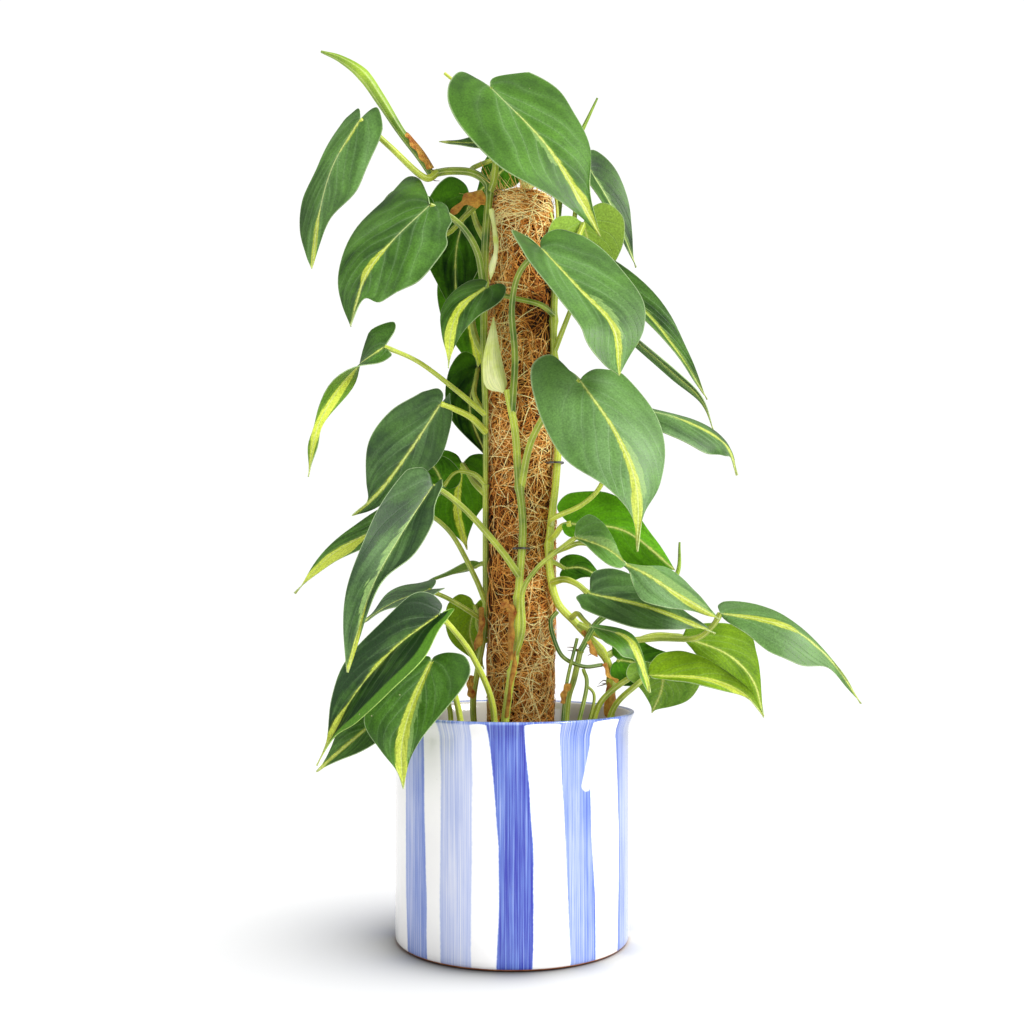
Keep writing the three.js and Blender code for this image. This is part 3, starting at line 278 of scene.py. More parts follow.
PAINT = {
    "leaf_01": painted(0.6,
        "14 0 0, 18 0.5 0.4, 40 0.7 1, 60 1.8 2.4, 72 2.4 4.4, 80 2.2 2.8, 90 1.4 1.4, 100 0.8 0.8",
        "20 0 0, 25 2.4 0, 38 3.8 0, 46 4.2 0, 49 0 0"),
    "leaf_02": painted(0.35, "0 0 0, 100 0.3 0.3", "0 1 1, 50 2.4 2.4, 100 0.5 0.5"),
    "leaf_03": painted(1.1, "0 0.7 0.7, 100 0.4 0.4"),
    "leaf_05": painted(0.6, "0 0.5 0.5, 30 1.2 1, 50 1.6 1.4, 70 2.2 3, 85 2.2 2.2, 100 0.6 0.6",
        "38 0 0, 46 0 5, 60 0 5.5, 74 0 4.5, 84 0 0", haze=0.12),
    "leaf_06": painted(0.45, "30 0 0, 40 2.2 0.5, 65 2.6 0.5, 80 0.5 0.3, 100 0.3 0.3",
        "0 1 1, 50 3.4 2, 100 0.5 0.5"),
    "leaf_07": painted(0.5, "0 0.2 0.2, 100 0.5 0.5", "0 1 1, 50 2.4 1.4, 100 0.6 0.4", haze=0.2),
    "leaf_08": painted(0.5, "30 0.5 0.5, 50 1.6 1.6, 75 1 1, 100 0.5 0.5",
        "0 1.2 0.8, 40 2.6 1.6, 80 0.6 0.6, 100 0 0", haze=0.2),
    "leaf_09": painted(0.78,
        "0 0.4 0.3, 20 0.8 0.6, 35 1.2 1, 60 2.6 2.2, 75 3.8 2.6, 88 3 2, 100 0.8 0.8",
        "30 0 0, 38 0 3.5, 56 0 6.4, 70 0 5.5, 78 0 0", haze=0.3),
    "leaf_10": painted(0.5,
        "0 0.2 0.6, 10 0.5 1.2, 20 0.3 0.8, 26 0 0, 62 0 0, 70 0.7 0.7, 82 1.6 1.2, 100 0.6 0.6",
        haze=0.12),
    "leaf_11": painted(0.45, "30 0 0, 40 0.8 0.6, 55 2.8 1.4, 66 3 1.2, 75 0.8 0.5, 100 0.4 0.4"),
    "leaf_12": painted(0.3, "20 0.4 0.4, 100 0.5 0.5"),
    "leaf_13": painted(0.24, "0 0.3 0.3, 100 0.4 0.4"),
    "leaf_14": painted(0.6, "10 0.6 0.6, 40 2 2.4, 80 2.4 2.8, 100 1 1", glow=1.5),
    "leaf_15": painted(0.45, "0 0.8 0.8, 30 2.6 2.2, 70 4 3, 100 1.6 1.6", glow=1.4),
    "leaf_17": painted(0.4, "0 0.4 0.4, 20 0.6 0.6, 34 5 1, 50 4 1.5, 75 2.4 2.4, 100 2 1", glow=1.4),
    "leaf_18": painted(0.22, "0 0.4 0.4, 50 0.7 0.7, 90 0.8 0.8, 100 0.5 0.5", haze=0.08),
    "leaf_19": painted(0.16, "0 0.3 0.3, 12 0.3 0.3, 20 0 0, 68 0 0, 76 0.2 1.6, 90 0.6 2, 100 1.2 1.2",
        "12 0 0, 22 0.8 0.8, 36 3.4 1.6, 48 3 1.4, 56 0.7 0.6, 62 4 1.6, 74 2.4 0, 84 0 0", haze=0.12),
    "leaf_21": painted(0.45, "30 0 0, 40 0.5 4, 50 1 8, 70 2 7, 100 1 1", glow=1.35),
    "leaf_22": painted(0.03,
        "0 0.6 0.6, 36 0.9 0.9, 46 1.8 1.4, 58 0.6 0.5, 70 0.6 0.6, 80 2.6 2, 92 2.4 2, 100 1.2 1.2",
        "30 0 0, 42 0 2.4, 56 0 1.6, 62 0 0", rolled=(0, 1)),
    "leaf_23": painted(0.4, "0 1 1.2, 30 2.4 2.4, 60 3.6 3.8, 85 3.4 3.4, 100 1.5 1.5",
        "10 0 0, 30 2 5, 70 2 6.5, 90 0 0"),
    "leaf_24": painted(0.4, "0 0.5 0.5, 60 1.2 1.2, 100 0.8 0.8"),
    "leaf_25": painted(0.2, "0 0.3 0.3, 100 0.3 0.3", haze=0.25),
    "leaf_26": painted(1.1, "0 0.4 0.4, 100 0.6 0.6"),
    "leaf_27": painted(0.2, "0 0.4 0.4, 100 0.5 0.5"),
    "leaf_28": painted(0.6, "0 0.6 0.6, 30 2.4 2, 70 3 2.4, 100 1.2 1.2", glow=1.5),
    "leaf_31": painted(0.9, "0 0.5 0.5, 100 0.5 0.5"),
    "leaf_32": painted(0.7, "0 0.7 0.7, 50 1 1, 75 2.6 1.4, 100 1 1",
        "0 0 3, 30 0 10, 70 0 9, 95 0 2, 100 0 0", haze=0.3),
    "leaf_33": painted(0.38, "0 0.6 0.6, 40 1.2 1.4, 80 1.6 1.6, 100 0.6 0.6", haze=0.15),
    "leaf_34": painted(0.75, "2 0.4 0.6, 16 1.4 2, 34 2 4, 46 1.6 2.4, 52 0.6 0.6, 100 0.5 0.5",
        haze=0.25),
    "leaf_35": painted(0.6, "0 0.7 0.7, 100 0.6 0.6"),
    "leaf_36": painted(0.8, "0 0.6 0.6, 30 3 0.6, 60 5 0.6, 80 5 0.6, 100 1 0.6",
        "20 0 0, 35 5 0, 70 6 0, 100 2 0", glow=1.2),
    "leaf_37": painted(0.5, "0 0.6 0.6, 100 0.4 0.4"),
    "leaf_38": painted(0.85, "30 0.5 0.5, 55 2.2 2.2, 100 1 1", glow=1.2),
    "leaf_41": painted(0.9, "0 0.6 0.6, 100 0.5 0.5", "0 0 2, 50 0 6, 100 0 1", haze=0.12),
}
PLAIN_PAINT = painted(0.4, "0 0.5 0.5, 100 0.5 0.5")

# Yellow-green young leaves
YOUNG = ["leaf_26", "leaf_35", "leaf_36"]

# Leaves that hang in the shade behind the pole; their deeper green is painted shade
SHADED = ["leaf_12", "leaf_13", "leaf_14", "leaf_27", "leaf_28", "leaf_31", "leaf_37", "leaf_39",
          "leaf_40", "leaf_46"]

# Stem colour from one end to the other: 0 for dark green and 1 for yellow green
VINE_TONES = {
    "front": (1, 1, 0.95, 0.9, 0.9, 0.85, 0.4, 0.25, 0.85, 0.9), "left": (0.5, 0.4, 0.2, 0.2, 0.5),
    "right": (0.8, 0.9, 1, 1, 0.9, 0.6, 0.2), "back": (0.6, 0.5, 0.6), "side": (0.5, 0.4),
}
STALK_TONES = {
    "leaf_01": (0.5, 0.3), "leaf_05": (0.2, 0.2), "leaf_10": (0.8, 0.7), "leaf_11": (0.1, 0.3),
    "leaf_15": (0.3, 0.3), "leaf_17": (0.9, 0.7), "leaf_18": (1, 1), "leaf_08": (1, 1),
    "leaf_31": (1, 1), "leaf_22": (0.9, 0.9), "leaf_23": (0.9, 0.9), "leaf_24": (0.8, 0.8),
}
# Small stems that stand among the others: path, radius, shade and whether one is rooted
YOUNG_STEMS = [
    ("29 209 18, 25 203 21, 27 192 25, 33 180 27, 46 174 25, 58 175 17", 1.5, 0.1, False),
    ("32 140 34, 35 161 32, 42 192 25", 1.3, 0.15, True),
    ("40 144 37, 48 160 34, 46 172 27", 1.5, 0.4, True),
    ("46 142 30, 53 153 30, 48 162 30", 1.1, 0.5, True),
    ("21 478 6, 24 468 9, 29 452 10", 1.1, 0.9, False),
    ("27 482 2, 29 470 4, 30 448 10", 1.1, 1, False),
    ("-11.5 528 16, -24 540 9, -35 549 7, -43.5 556 7", 1.2, 0.9, False),
]

# Rolled new leaves
SHOOTS = {
    "shoot_left": dict(
        path=table("-52 491 15, -60 503 15, -72 519 16, -84 538 18, -96 555 20, -110 565 22, -123 570 22"),
        radii=[2.2, 2.4, 2.6, 3.4, 3.8, 2.2, 0.7]),
    "shoot_right": dict(path=table("30 445 10, 30 464 -4, 35 500 -14, 45 519 -14, 55 540 -12"),
        radii=[1.8, 1.8, 1.8, 1.5, 0.7]),
    "shoot_low": dict(path=table("44 184 26, 58 205 28, 90 218 34, 106 233 36, 108 254 36"),
        radii=[1.8, 1.8, 1.6, 1.4, 0.6]),
}

# Sheaths that new leaves came out of
SHEATHS = {
    "sheath_front": dict(
        blade_shape(20, "-6 350 31, -11 372 36, -12 399 36", "0.2 -1 0.1, -34 -14, -30 -30"),
        look="pale"),
    "sheath_left": dict(
        blade_shape(16, "-18 478 16, -28 475 22, -40 465 24", "0.2 -1 0.4, -10 -10, -40 -40"),
        look="dried"),
    "sheath_shoot": dict(
        blade_shape(9, "-51 495 19, -58 506 20, -68 518 20", "0.7 -0.8 0.4, -10 -10, -50 -50"),
        look="dried"),
    "sheath_pole": dict(blade_shape(12, "12 482 4, 10 488 5, 7 495 4", "0 -1 0.1, -10 -10, -40 -40"),
        look="pale"),
    "sheath_low": dict(blade_shape(7, "-1 178 32, -1 198 32, 0 216 32", "-0.6 -1 0.1, -10 -10, -50 -50"),
        look="dried"),
    "sheath_right": dict(
        blade_shape(10, "63 141 12, 64 153 13, 62 164 14", "0.2 -1 0.1, -10 -10, -60 -60"), look="dried"),
}

# Half outlines of the sheaths that are narrow where they grow
SHEATH_EDGES = {
    "sheath_front": "10 3, 40 10, 50 22, 44 38, 34 56, 20 75, 8 90",
    "sheath_left": "30 -6, 42 6, 36 20, 46 38, 26 55, 10 66, 16 88",
    "sheath_shoot": "44 4, 34 20, 50 36, 34 56, 46 72, 20 86, 30 95",
    "sheath_low": "30 2, 24 20, 40 40, 26 60, 50 80, 30 90",
}

# Dry strips beside the stems: midrib, width, the side it faces and the fold of its halves, and 1
# for the pale one
HUSK_CURL = ", -50 -50, 1 1, 0 0.5 0"
HUSKS = [
    (5, "-4 141 33, -2 158 33, 2 184 33", "-0.6 -1 0.1, -20 -30", 0),
    (7, "2 207 34, -2 212 37, -7 216 37", "-0.2 -1 0.6, 30 -20", 0),
    (6, "46 197 24, 50 190 27, 55 180 25", "0.2 -1 0.2, 20 -30", 0),
    (6, "33 150 35, 34 157 35, 38 163 34", "0 -1 0.2, -30 20", 0),
    (8, "60 176 18, 64 168 20, 70 166 20", "0.2 -1 0.4, 30 -30", 0),
    (6, "-13 469 24, -9.8 445 27, -14 423 24", "0.3 -1 0, -20 -30", 1),
    (7, "-20 212 9, -20 199 10, -24 184 9", "-0.3 -1 0.1, -20 20", 0),
    (6, "-26 168 10, -27 161 11, -25 153 10", "-0.2 -1 0.1, 20 -20", 0),
]

# Wire pins over the stems: the middle of each
PINS = {
    "pin_front": (6, 250, 27),
    "pin_right": (28.5, 305, 13.5),
}

# Brush stripes on the pot: left and right edge in degrees from the front at five heights, how
# strong the paint is, and how much stronger it gets to the right
STRIPE_HEIGHTS = [0, 40, 73, 110, 146]
STRIPES = [
    ([-58.5, -60.2, -60.4, -60.3, -60.2], [-42.9, -43.3, -44.1, -44.7, -45.2], 0.52, 0.1),
    ([-34.4, -34.6, -34.4, -34.1, -35], [-18.5, -18.4, -18.2, -17.8, -18.6], 0.29, 0),
    ([-7, -5.8, -5.8, -8.3, -11], [8.9, 9.6, 9.1, 7.6, 5], 0.9, 0.12),
    ([27.3, 26.1, 24.6, 22.9, 21.3], [41.6, 41.2, 39.4, 38.1, 38.2], 0.54, 0.15),
    ([59.6, 60.6, 61, 59, 56.2], [80, 79, 78.5, 78.6, 80], 0.52, -0.2),
    ([98.5, 99, 99.5, 99, 97.5], [115.5, 116, 116.5, 115.5, 114.5], 0.8, 0.2),
    ([132, 131, 131, 132, 133], [148, 147, 147, 148, 149], 0.35, 0),
    ([162, 162.5, 161, 161.5, 163], [180, 179.5, 179, 180, 181], 0.7, 0.2),
    ([-166.5, -166, -165.5, -166, -166.5], [-149.5, -149, -148.5, -149, -149.5], 0.5, 0),
    ([-135, -134.5, -134, -135, -136], [-119, -118.5, -118, -119, -120], 0.85, 0.2),
    ([-105.6, -106, -105.6, -105, -104.6], [-88.4, -88, -88.4, -87.8, -87.4], 0.4, 0.1),
]


# A measured point moved along its line of sight to its place in front of the axis
def seen(point):
    across, up, front = point
    scale = (VIEWER_DISTANCE - front) / VIEWER_DISTANCE
    return np.array([across * scale, -front, VIEWER_HEIGHT + (up - VIEWER_HEIGHT) * scale])


def unit(vectors):
    return vectors / np.maximum(np.linalg.norm(vectors, axis=-1, keepdims=True), 1e-9)


# A smooth curve through points, from 0 at the first to 1 at the last
class Spline:
    def __init__(self, points):
        points = np.array(points, float)
        self.spans = len(points) - 1
        first, last = 2 * points[0] - points[1], 2 * points[-1] - points[-2]
        self.points = np.vstack([first, points, last])

    def at(self, t):
        place = np.clip(np.asarray(t, float), 0, 1) * self.spans
        index = np.minimum(place.astype(int), self.spans - 1)
        w = (place - index)[..., None]
        a, b, c, d = (self.points[index + k] for k in range(4))
        m, n = 0.5 * (c - a), 0.5 * (d - b)
        return (2 * b - 2 * c + m + n) * w**3 + (3 * c - 3 * b - 2 * m - n) * w**2 + m * w + b

    def tangent(self, t):
        return unit(self.at(np.clip(t + 1e-4, 0, 1)) - self.at(np.clip(t - 1e-4, 0, 1)))

    def length(self):
        places = self.at(np.linspace(0, 1, 201))
        return np.linalg.norm(np.diff(places, axis=0), axis=1).sum()


# The parts of one mesh while it is made
class Pieces:
    def __init__(self, fields):
        self.fields = {name: [] for name in fields}
        self.points, self.faces, self.looks, self.count = [], [], [], 0

    def add(self, points, faces, look=0, **fields):
        faces = np.asarray(faces) + self.count
        self.points.append(np.asarray(points, float))
        self.faces.append(faces)
        self.looks.append(np.full(len(faces), look))
        for name, stored in self.fields.items():
            stored.append(np.broadcast_to(np.asarray(fields.get(name, 0.0), float), len(points)))
        self.count += len(points)

    # More faces between the points from the given one on
    def join(self, faces, look, start):
        self.faces.append(np.asarray(faces) + start)
        self.looks.append(np.full(len(faces), look))

    def finish(self, name, looks, replaced=(), sharp=60):
        mesh = bpy.data.meshes.new(name)
        faces = [face for group in self.faces for face in group.tolist()]
        mesh.from_pydata((np.vstack(self.points) * MM).tolist(), [], faces)
        mesh.polygons.foreach_set("material_index", np.concatenate(self.looks).astype(np.int32))
        for field, values in self.fields.items():
            stored = mesh.attributes.new(field, "FLOAT", "POINT")
            stored.data.foreach_set("value", np.concatenate(values).astype(np.float32))
        for look in looks:
            mesh.materials.append(look)
        mesh.shade_smooth()
        mesh.set_sharp_from_angle(angle=math.radians(sharp))
        piece = bpy.data.objects.new(name, mesh)
        bpy.context.scene.collection.objects.link(piece)
        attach(piece, "root")
        if replaced:
            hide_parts(*replaced)
        return piece


# Four-cornered faces between the rows of a grid of points
def grid_faces(rows, columns, wrap=False, flip=False):
    row, column = np.mgrid[0:rows - 1, 0:columns if wrap else columns - 1]
    after = (column + 1) % columns
    a, b = row * columns + column, row * columns + after
    corners = [a, b, b + columns, a + columns]
    return np.stack(corners[::-1] if flip else corners, -1).reshape(-1, 4)


def between(values, t):
    return np.interp(t, np.linspace(0, 1, len(values)), values)


# A round tube with fine ridges along it, closed at both ends
def tube(pieces, curve, radius_at, sides, steps, look=0, ridge=0.04, tones=(0.6, 0.6)):
    t = np.linspace(0, 1, steps + 1)
    along = curve.tangent(t)
    across = np.zeros_like(along)
    side = np.array([1, 0.2, 0.1])
    for step, forward in enumerate(along):
        side = unit(side - forward * (side @ forward))
        across[step] = side
    third = np.cross(along, across)
    angle = np.arange(sides) / sides * TURN
    high = np.arange(sides) % 2
    radius = np.asarray([radius_at(v) for v in t])[:, None] * (1 + ridge * (2 * high - 1))
    centre = curve.at(t)
    ring = (across[:, None] * (radius * np.cos(angle))[..., None]
            + third[:, None] * (radius * np.sin(angle))[..., None])
    points = np.vstack([(centre[:, None] + ring).reshape(-1, 3), centre[0], centre[-1]])
    shades = between(tones, t)
    start, foot, last = pieces.count, len(points) - 2, steps * sides
    pieces.add(points, grid_faces(steps + 1, sides, wrap=True), look,
               ridge=[*np.tile(high, steps + 1), 0.5, 0.5],
               tone=[*np.repeat(shades, sides), shades[0], shades[-1]])
    after = (np.arange(sides) + 1) % sides
    caps = [[foot, b, a] for a, b in enumerate(after)]
    caps += [[foot + 1, last + a, last + b] for a, b in enumerate(after)]
    pieces.join(caps, look, start)


# The points of a stem, with its rooted end going straight down into the soil
def stem_points(path, rooted):
    points = [seen(point) for point in path]
    if rooted:
        points[0][2] = SOIL_TOP + STRAIGHT_ABOVE_SOIL
        points.insert(0, np.array([points[0][0], points[0][1], SOIL_TOP - ROOTED_DEPTH]))
    return points


VEIN_COUNT = 6
RIB_GROOVE = 1.2
NO_PAINT = -3


# Veins fan out from the midrib and curve towards the tip
def vein_place(along, across):
    bent = along - 0.45 * across - 0.5 * across**2
    return np.where(bent > 0, bent, 0.4 * bent / np.maximum(across, 0.04))


# The points of half a blade over a grid of rows and columns
def blade_half(leaf, outline, rows, columns, left, relief):
    curve = Spline([seen(point) for point in leaf["rib"]])
    corners = half_outline(outline[1 - left])
    fold, curl, lobe = (leaf[key][1 - left] for key in ("fold", "curl", "lobes"))
    margin = Spline(corners).at(np.linspace(0, 1, rows + 1))
    row = np.linspace(0, len(corners) - 1, rows + 1)[:, None]
    edge = (np.arange(columns + 1) / columns)[None, :]
    start = (row / (len(corners) - 1)) ** 1.5
    across = np.maximum(margin[:, :1], 0) * edge
    along = start + (margin[:, 1:] - start) * edge
    t = np.clip(along, 0, 1)
    forward = curve.tangent(t)
    up = np.broadcast_to(np.array(leaf["face"]), forward.shape)
    up = unit(up - forward * (up * forward).sum(-1, keepdims=True))
    turn = np.radians(leaf["turn"]) * t[..., None]
    up = up * np.cos(turn) + np.cross(forward, up) * np.sin(turn)
    side = np.cross(forward, up) * (1 if left else -1)
    distance = across * leaf["width"]
    fold = math.radians(fold)
    bend = math.radians(curl) / (leaf["width"] / 2)
    if bend:
        out = (np.sin(fold + bend * distance) - math.sin(fold)) / bend
        rise = (math.cos(fold) - np.cos(fold + bend * distance)) / bend
    else:
        out, rise = distance * math.cos(fold), distance * math.sin(fold)
    back = np.minimum(along, 0) * curve.length() * lobe
    phase = TURN * (row * 0.31 + left * 0.4) + leaf["width"]
    vein = vein_place(np.where(along < 0, along * lobe, along), 0.5 * edge + across)
    ripple = np.abs((vein * VEIN_COUNT) % 1 - 0.5) * 2
    rise = rise + back * leaf["drop"] + leaf["wave"] * edge**2 * np.sin(phase)
    rise = rise + relief * ripple * np.minimum(edge * 5, 1) * (1 - edge**3)
    rise = rise - relief * np.exp(-(distance / RIB_GROOVE) ** 2)
    points = (curve.at(t) + forward * back[..., None] + side * out[..., None]
              + up * rise[..., None])
    return points, along, distance, np.broadcast_to(edge, along.shape), vein


# A thin closed blade with an upper side, an underside and a margin
def blade(pieces, leaf, outline, rows, columns, relief, paint, looks=(0, 1)):
    sheet, fields = [], {name: [] for name in ("lime", "pale", "edge", "vein", "rib", "roll")}
    for place, left in enumerate((1, 0)):
        half = slice(None, None, -1) if left else slice(1, None)
        points, along, distance, edge, vein = blade_half(leaf, outline, rows, columns, left, relief)
        sheet.append(points[:, half])
        values = dict(edge=edge, vein=vein, rib=distance, roll=edge * paint["rolled"][place])
        for name in ("lime", "pale"):
            spread = np.array(paint[name])
            reach = np.interp(along, spread[:, 0], spread[:, 1 + place], left=NO_PAINT)
            values[name] = np.where(reach <= 0.01, NO_PAINT, reach) - distance
        for name, value in values.items():
            fields[name].append(value[:, half])
    sheet = np.concatenate(sheet, axis=1)
    width = sheet.shape[1]
    down, over = np.gradient(sheet, axis=0), np.gradient(sheet, axis=1)
    normal = unit(np.cross(down, over))
    normal[0], normal[-1] = normal[1], normal[-2]
    flat, shift = sheet.reshape(-1, 3), normal.reshape(-1, 3) * BLADE_THICKNESS / 2
    count, start = len(flat), pieces.count
    both = {name: np.tile(np.concatenate(parts, axis=1).ravel(), 2) for name, parts in fields.items()}
    pieces.add(np.vstack([flat + shift, flat - shift]), grid_faces(rows + 1, width, flip=True), looks[0],
               **both, **{name: paint[name] for name in ("tone", "haze", "glow")})
    rim = []
    for row in range(rows):
        for a, b in ((row * width, (row + 1) * width), ((row + 2) * width - 1, (row + 1) * width - 1)):
            rim.append([a, b, b + count, a + count])
    pieces.join(grid_faces(rows + 1, width) + count, looks[1], start)
    pieces.join(rim, looks[1], start)


# A material whose colour, gloss and relief come from patterns in space
class Look:
    def __init__(self, name, roughness, **fixed):
        self.material = bpy.data.materials.new(name)
        self.material.use_nodes = True
        self.tree = self.material.node_tree
        self.skin = self.tree.nodes["Principled BSDF"]
        self.skin.inputs["Roughness"].default_value = roughness
        for key, value in fixed.items():
            self.skin.inputs[key.replace("_", " ")].default_value = value
        self.place = self.add("ShaderNodeTexCoord", {}).outputs["Object"]

    def add(self, kind, inputs, **settings):
        node = self.tree.nodes.new(kind)
        for key, value in settings.items():
            setattr(node, key, value)
        for key, value in inputs.items():
            if isinstance(value, bpy.types.NodeSocket):
                self.tree.links.new(value, node.inputs[key])
            else:
                node.inputs[key].default_value = value
        return node

    def field(self, name):
        return self.add("ShaderNodeAttribute", {}, attribute_name=name).outputs["Fac"]

    def calc(self, operation, a, b=0.0):
        return self.add("ShaderNodeMath", {0: a, 1: b}, operation=operation).outputs[0]

    def plus(self, a, b):
        return self.calc("ADD", a, b)

    def times(self, a, b):
        return self.calc("MULTIPLY", a, b)

    def ramp(self, value, low, high, first=0.0, last=1.0):
        inputs = {"Value": value, "From Min": low, "From Max": high, "To Min": first, "To Max": last}
        return self.add("ShaderNodeMapRange", inputs).outputs["Result"]

    # A noise, which hardly leaves the middle of its range, between two values
    def spread(self, value, first=0.0, last=1.0):
        return self.ramp(value, 0.3, 0.7, first, last)

    def noise(self, scale, detail=2.0, place=None, rough=0.5):
        inputs = {"Vector": place or self.place, "Scale": scale, "Detail": detail, "Roughness": rough}
        return self.add("ShaderNodeTexNoise", inputs).outputs["Fac"]

    def stretch(self, x, y, z):
        inputs = {"Vector": self.place, "Scale": (x, y, z)}
        return self.add("ShaderNodeMapping", inputs).outputs["Vector"]

    def vector(self, operation, a, b=(0, 0, 0)):
        return self.add("ShaderNodeVectorMath", {0: a, 1: b}, operation=operation).outputs[0]

    def join(self, x, y, z):
        return self.add("ShaderNodeCombineXYZ", {0: x, 1: y, 2: z}).outputs[0]

    def mix(self, part, a, b, blend="MIX"):
        inputs = {0: part, 6: a, 7: b}
        return self.add("ShaderNodeMix", inputs, data_type="RGBA", blend_type=blend).outputs[2]

    def value(self, colour, brightness):
        return self.add("ShaderNodeHueSaturation", {"Color": colour, "Value": brightness}).outputs[0]

    # Small dots over a colour where a coarse noise is above the limit
    def dots(self, colour, scale, share, coarse, limit, dot_colour):
        spots = self.add("ShaderNodeTexVoronoi", {"Vector": self.place, "Scale": scale})
        part = self.times(self.ramp(spots.outputs["Distance"], 0.02, 0.05, share, 0),
                          self.ramp(self.noise(coarse, 0), limit, limit + 0.02))
        return self.mix(part, colour, dot_colour)

    def relief(self, height, depth):
        inputs = {"Height": height, "Distance": depth * MM, "Strength": 1.0}
        self.tree.links.new(self.add("ShaderNodeBump", inputs).outputs[0], self.skin.inputs["Normal"])

    def wear(self, colour, roughness=None):
        self.tree.links.new(colour, self.skin.inputs["Base Color"])
        if roughness is not None:
            self.tree.links.new(roughness, self.skin.inputs["Roughness"])
        return self.material


def rgb(red, green, blue):
    def linear(v):
        v /= 255
        return v / 12.92 if v < 0.04045 else ((v + 0.055) / 1.055) ** 2.4
    return (linear(red), linear(green), linear(blue), 1)


DARK_GREEN = rgb(18, 52, 6)
LIGHT_GREEN = rgb(90, 142, 36)
PAINTED_SHADE_DARK = rgb(6, 42, 0)
PAINTED_SHADE_LIGHT = rgb(94, 160, 16)
BACK_DARK = rgb(74, 122, 22)
BACK_LIGHT = rgb(150, 186, 66)
VEIN_GREEN = rgb(176, 196, 148)
PAINTED_SHEEN_GREY = rgb(128, 158, 116)
RIB = rgb(200, 212, 140)
LIME = rgb(166, 182, 44)
LIME_PALE = rgb(192, 202, 84)
PALE_PATCH = rgb(136, 170, 92)
SPECK = rgb(196, 188, 150)


# Leaf skin: green between veins, with a lime streak and a pale patch that end along the veins,
# and a grey veil of painted sheen in soft streaks along the veins
def leaf_look(name, dark, light, vein_share, painted_sheen_share, roughness, gloss):
    look = Look(name, roughness, Specular_IOR_Level=gloss)
    vein, edge, tone, rib = (look.field(field) for field in ("vein", "edge", "tone", "rib"))
    own = look.times(tone, 91)
    streaks = look.noise(1.0, 2, look.join(look.times(vein, 34), look.times(edge, 3), own))
    tone_and_sheen_streaks = look.noise(1.0, 2, look.join(look.times(vein, 5), look.times(edge, 1.6), own), 0.5)
    cloud, grain = look.noise(60, 3), look.noise(850, 4, rough=0.65)
    bent = look.plus(vein, look.spread(look.noise(45, 1), -0.02, 0.02))
    line = look.calc("SUBTRACT", look.calc("FRACT", look.times(bent, VEIN_COUNT)), 0.5)
    line = look.calc("ABSOLUTE", line)
    inner = look.times(look.ramp(edge, 0.15, 0.9, 1.0, 0.15), look.ramp(tone, 0.1, 0.6, 0.5, 1.0))
    green = look.plus(tone, look.spread(cloud, -0.2, 0.2))
    green = look.mix(look.plus(green, look.spread(tone_and_sheen_streaks, -0.22, 0.22)), dark, light)
    # Painted sheen: a grey veil over the green in soft streaks, and along the vein lines
    green = look.mix(look.ramp(tone_and_sheen_streaks, 0.5, 0.8, 0, painted_sheen_share), green, PAINTED_SHEEN_GREY)
    green = look.mix(look.times(look.ramp(line, 0.0, 0.22, painted_sheen_share, 0.0), inner), green, PAINTED_SHEEN_GREY)
    part = look.times(look.ramp(line, 0.0, 0.045, vein_share, 0.0), look.ramp(tone_and_sheen_streaks, 0.35, 0.6, 0.3, 1.3))
    green = look.mix(look.times(part, inner), green, VEIN_GREEN)
    green = look.mix(look.ramp(rib, 0.3, 2.2, 0.12, 0.0), green, VEIN_GREEN)
    # More painted sheen on the leaves that are given it
    green = look.mix(look.times(look.field("haze"), look.spread(tone_and_sheen_streaks, 0.5, 1.5)), green, PAINTED_SHEEN_GREY)
    rolled = look.ramp(look.field("roll"), 0.7, 0.76)
    green = look.mix(rolled, green, light)
    lift = look.ramp(streaks, 0.25, 0.75, -1.2, 1.2)
    patch = look.ramp(look.plus(look.field("pale"), lift), -0.3, 0.3)
    green = look.mix(look.times(patch, 0.75), green, PALE_PATCH)
    reach = look.plus(look.field("lime"), look.ramp(streaks, 0.25, 0.75, -0.5, 0.5))
    green = look.mix(look.ramp(reach, -0.9, 0.0, 0.0, 0.3), green, LIME)
    # The lime is painted brighter on leaves in shade, as painted light
    lime = look.value(look.mix(look.spread(streaks), LIME, LIME_PALE), look.field("glow"))
    green = look.mix(look.ramp(reach, -0.12, 0.12), green, lime)
    green = look.mix(look.ramp(rib, 0.25, 0.5, 0.6, 0.0), green, RIB)
    green = look.dots(green, 75.0, 0.7, 23, 0.6, SPECK)
    margin = look.calc("SUBTRACT", look.ramp(edge, 0.975, 0.995, 0, 0.6), look.times(rolled, 0.4))
    green = look.mix(margin, green, VEIN_GREEN)
    green = look.value(green, look.ramp(grain, 0.32, 0.68, 0.74, 1.26))
    look.relief(look.plus(look.times(grain, 0.8), look.ramp(line, 0, 0.09, 0, 0.6)), 0.13)
    return look.wear(green, look.spread(grain, roughness - 0.06, roughness + 0.08))


# Stems and stalks: pale ridges along a green skin
def stem_look(name, low, high, ridge_colour, roughness):
    look = Look(name, roughness)
    cloud, grain = look.noise(70, 3), look.noise(1500, 2)
    shade = look.plus(look.field("tone"), look.spread(cloud, -0.25, 0.25))
    green = look.mix(shade, low, high)
    green = look.mix(look.ramp(look.field("ridge"), 0.6, 0.95, 0, 0.45), green, ridge_colour)
    green = look.value(green, look.spread(grain, 0.82, 1.18))
    look.relief(look.plus(grain, look.field("ridge")), 0.15)
    return look.wear(green, look.spread(grain, roughness - 0.06, roughness + 0.08))


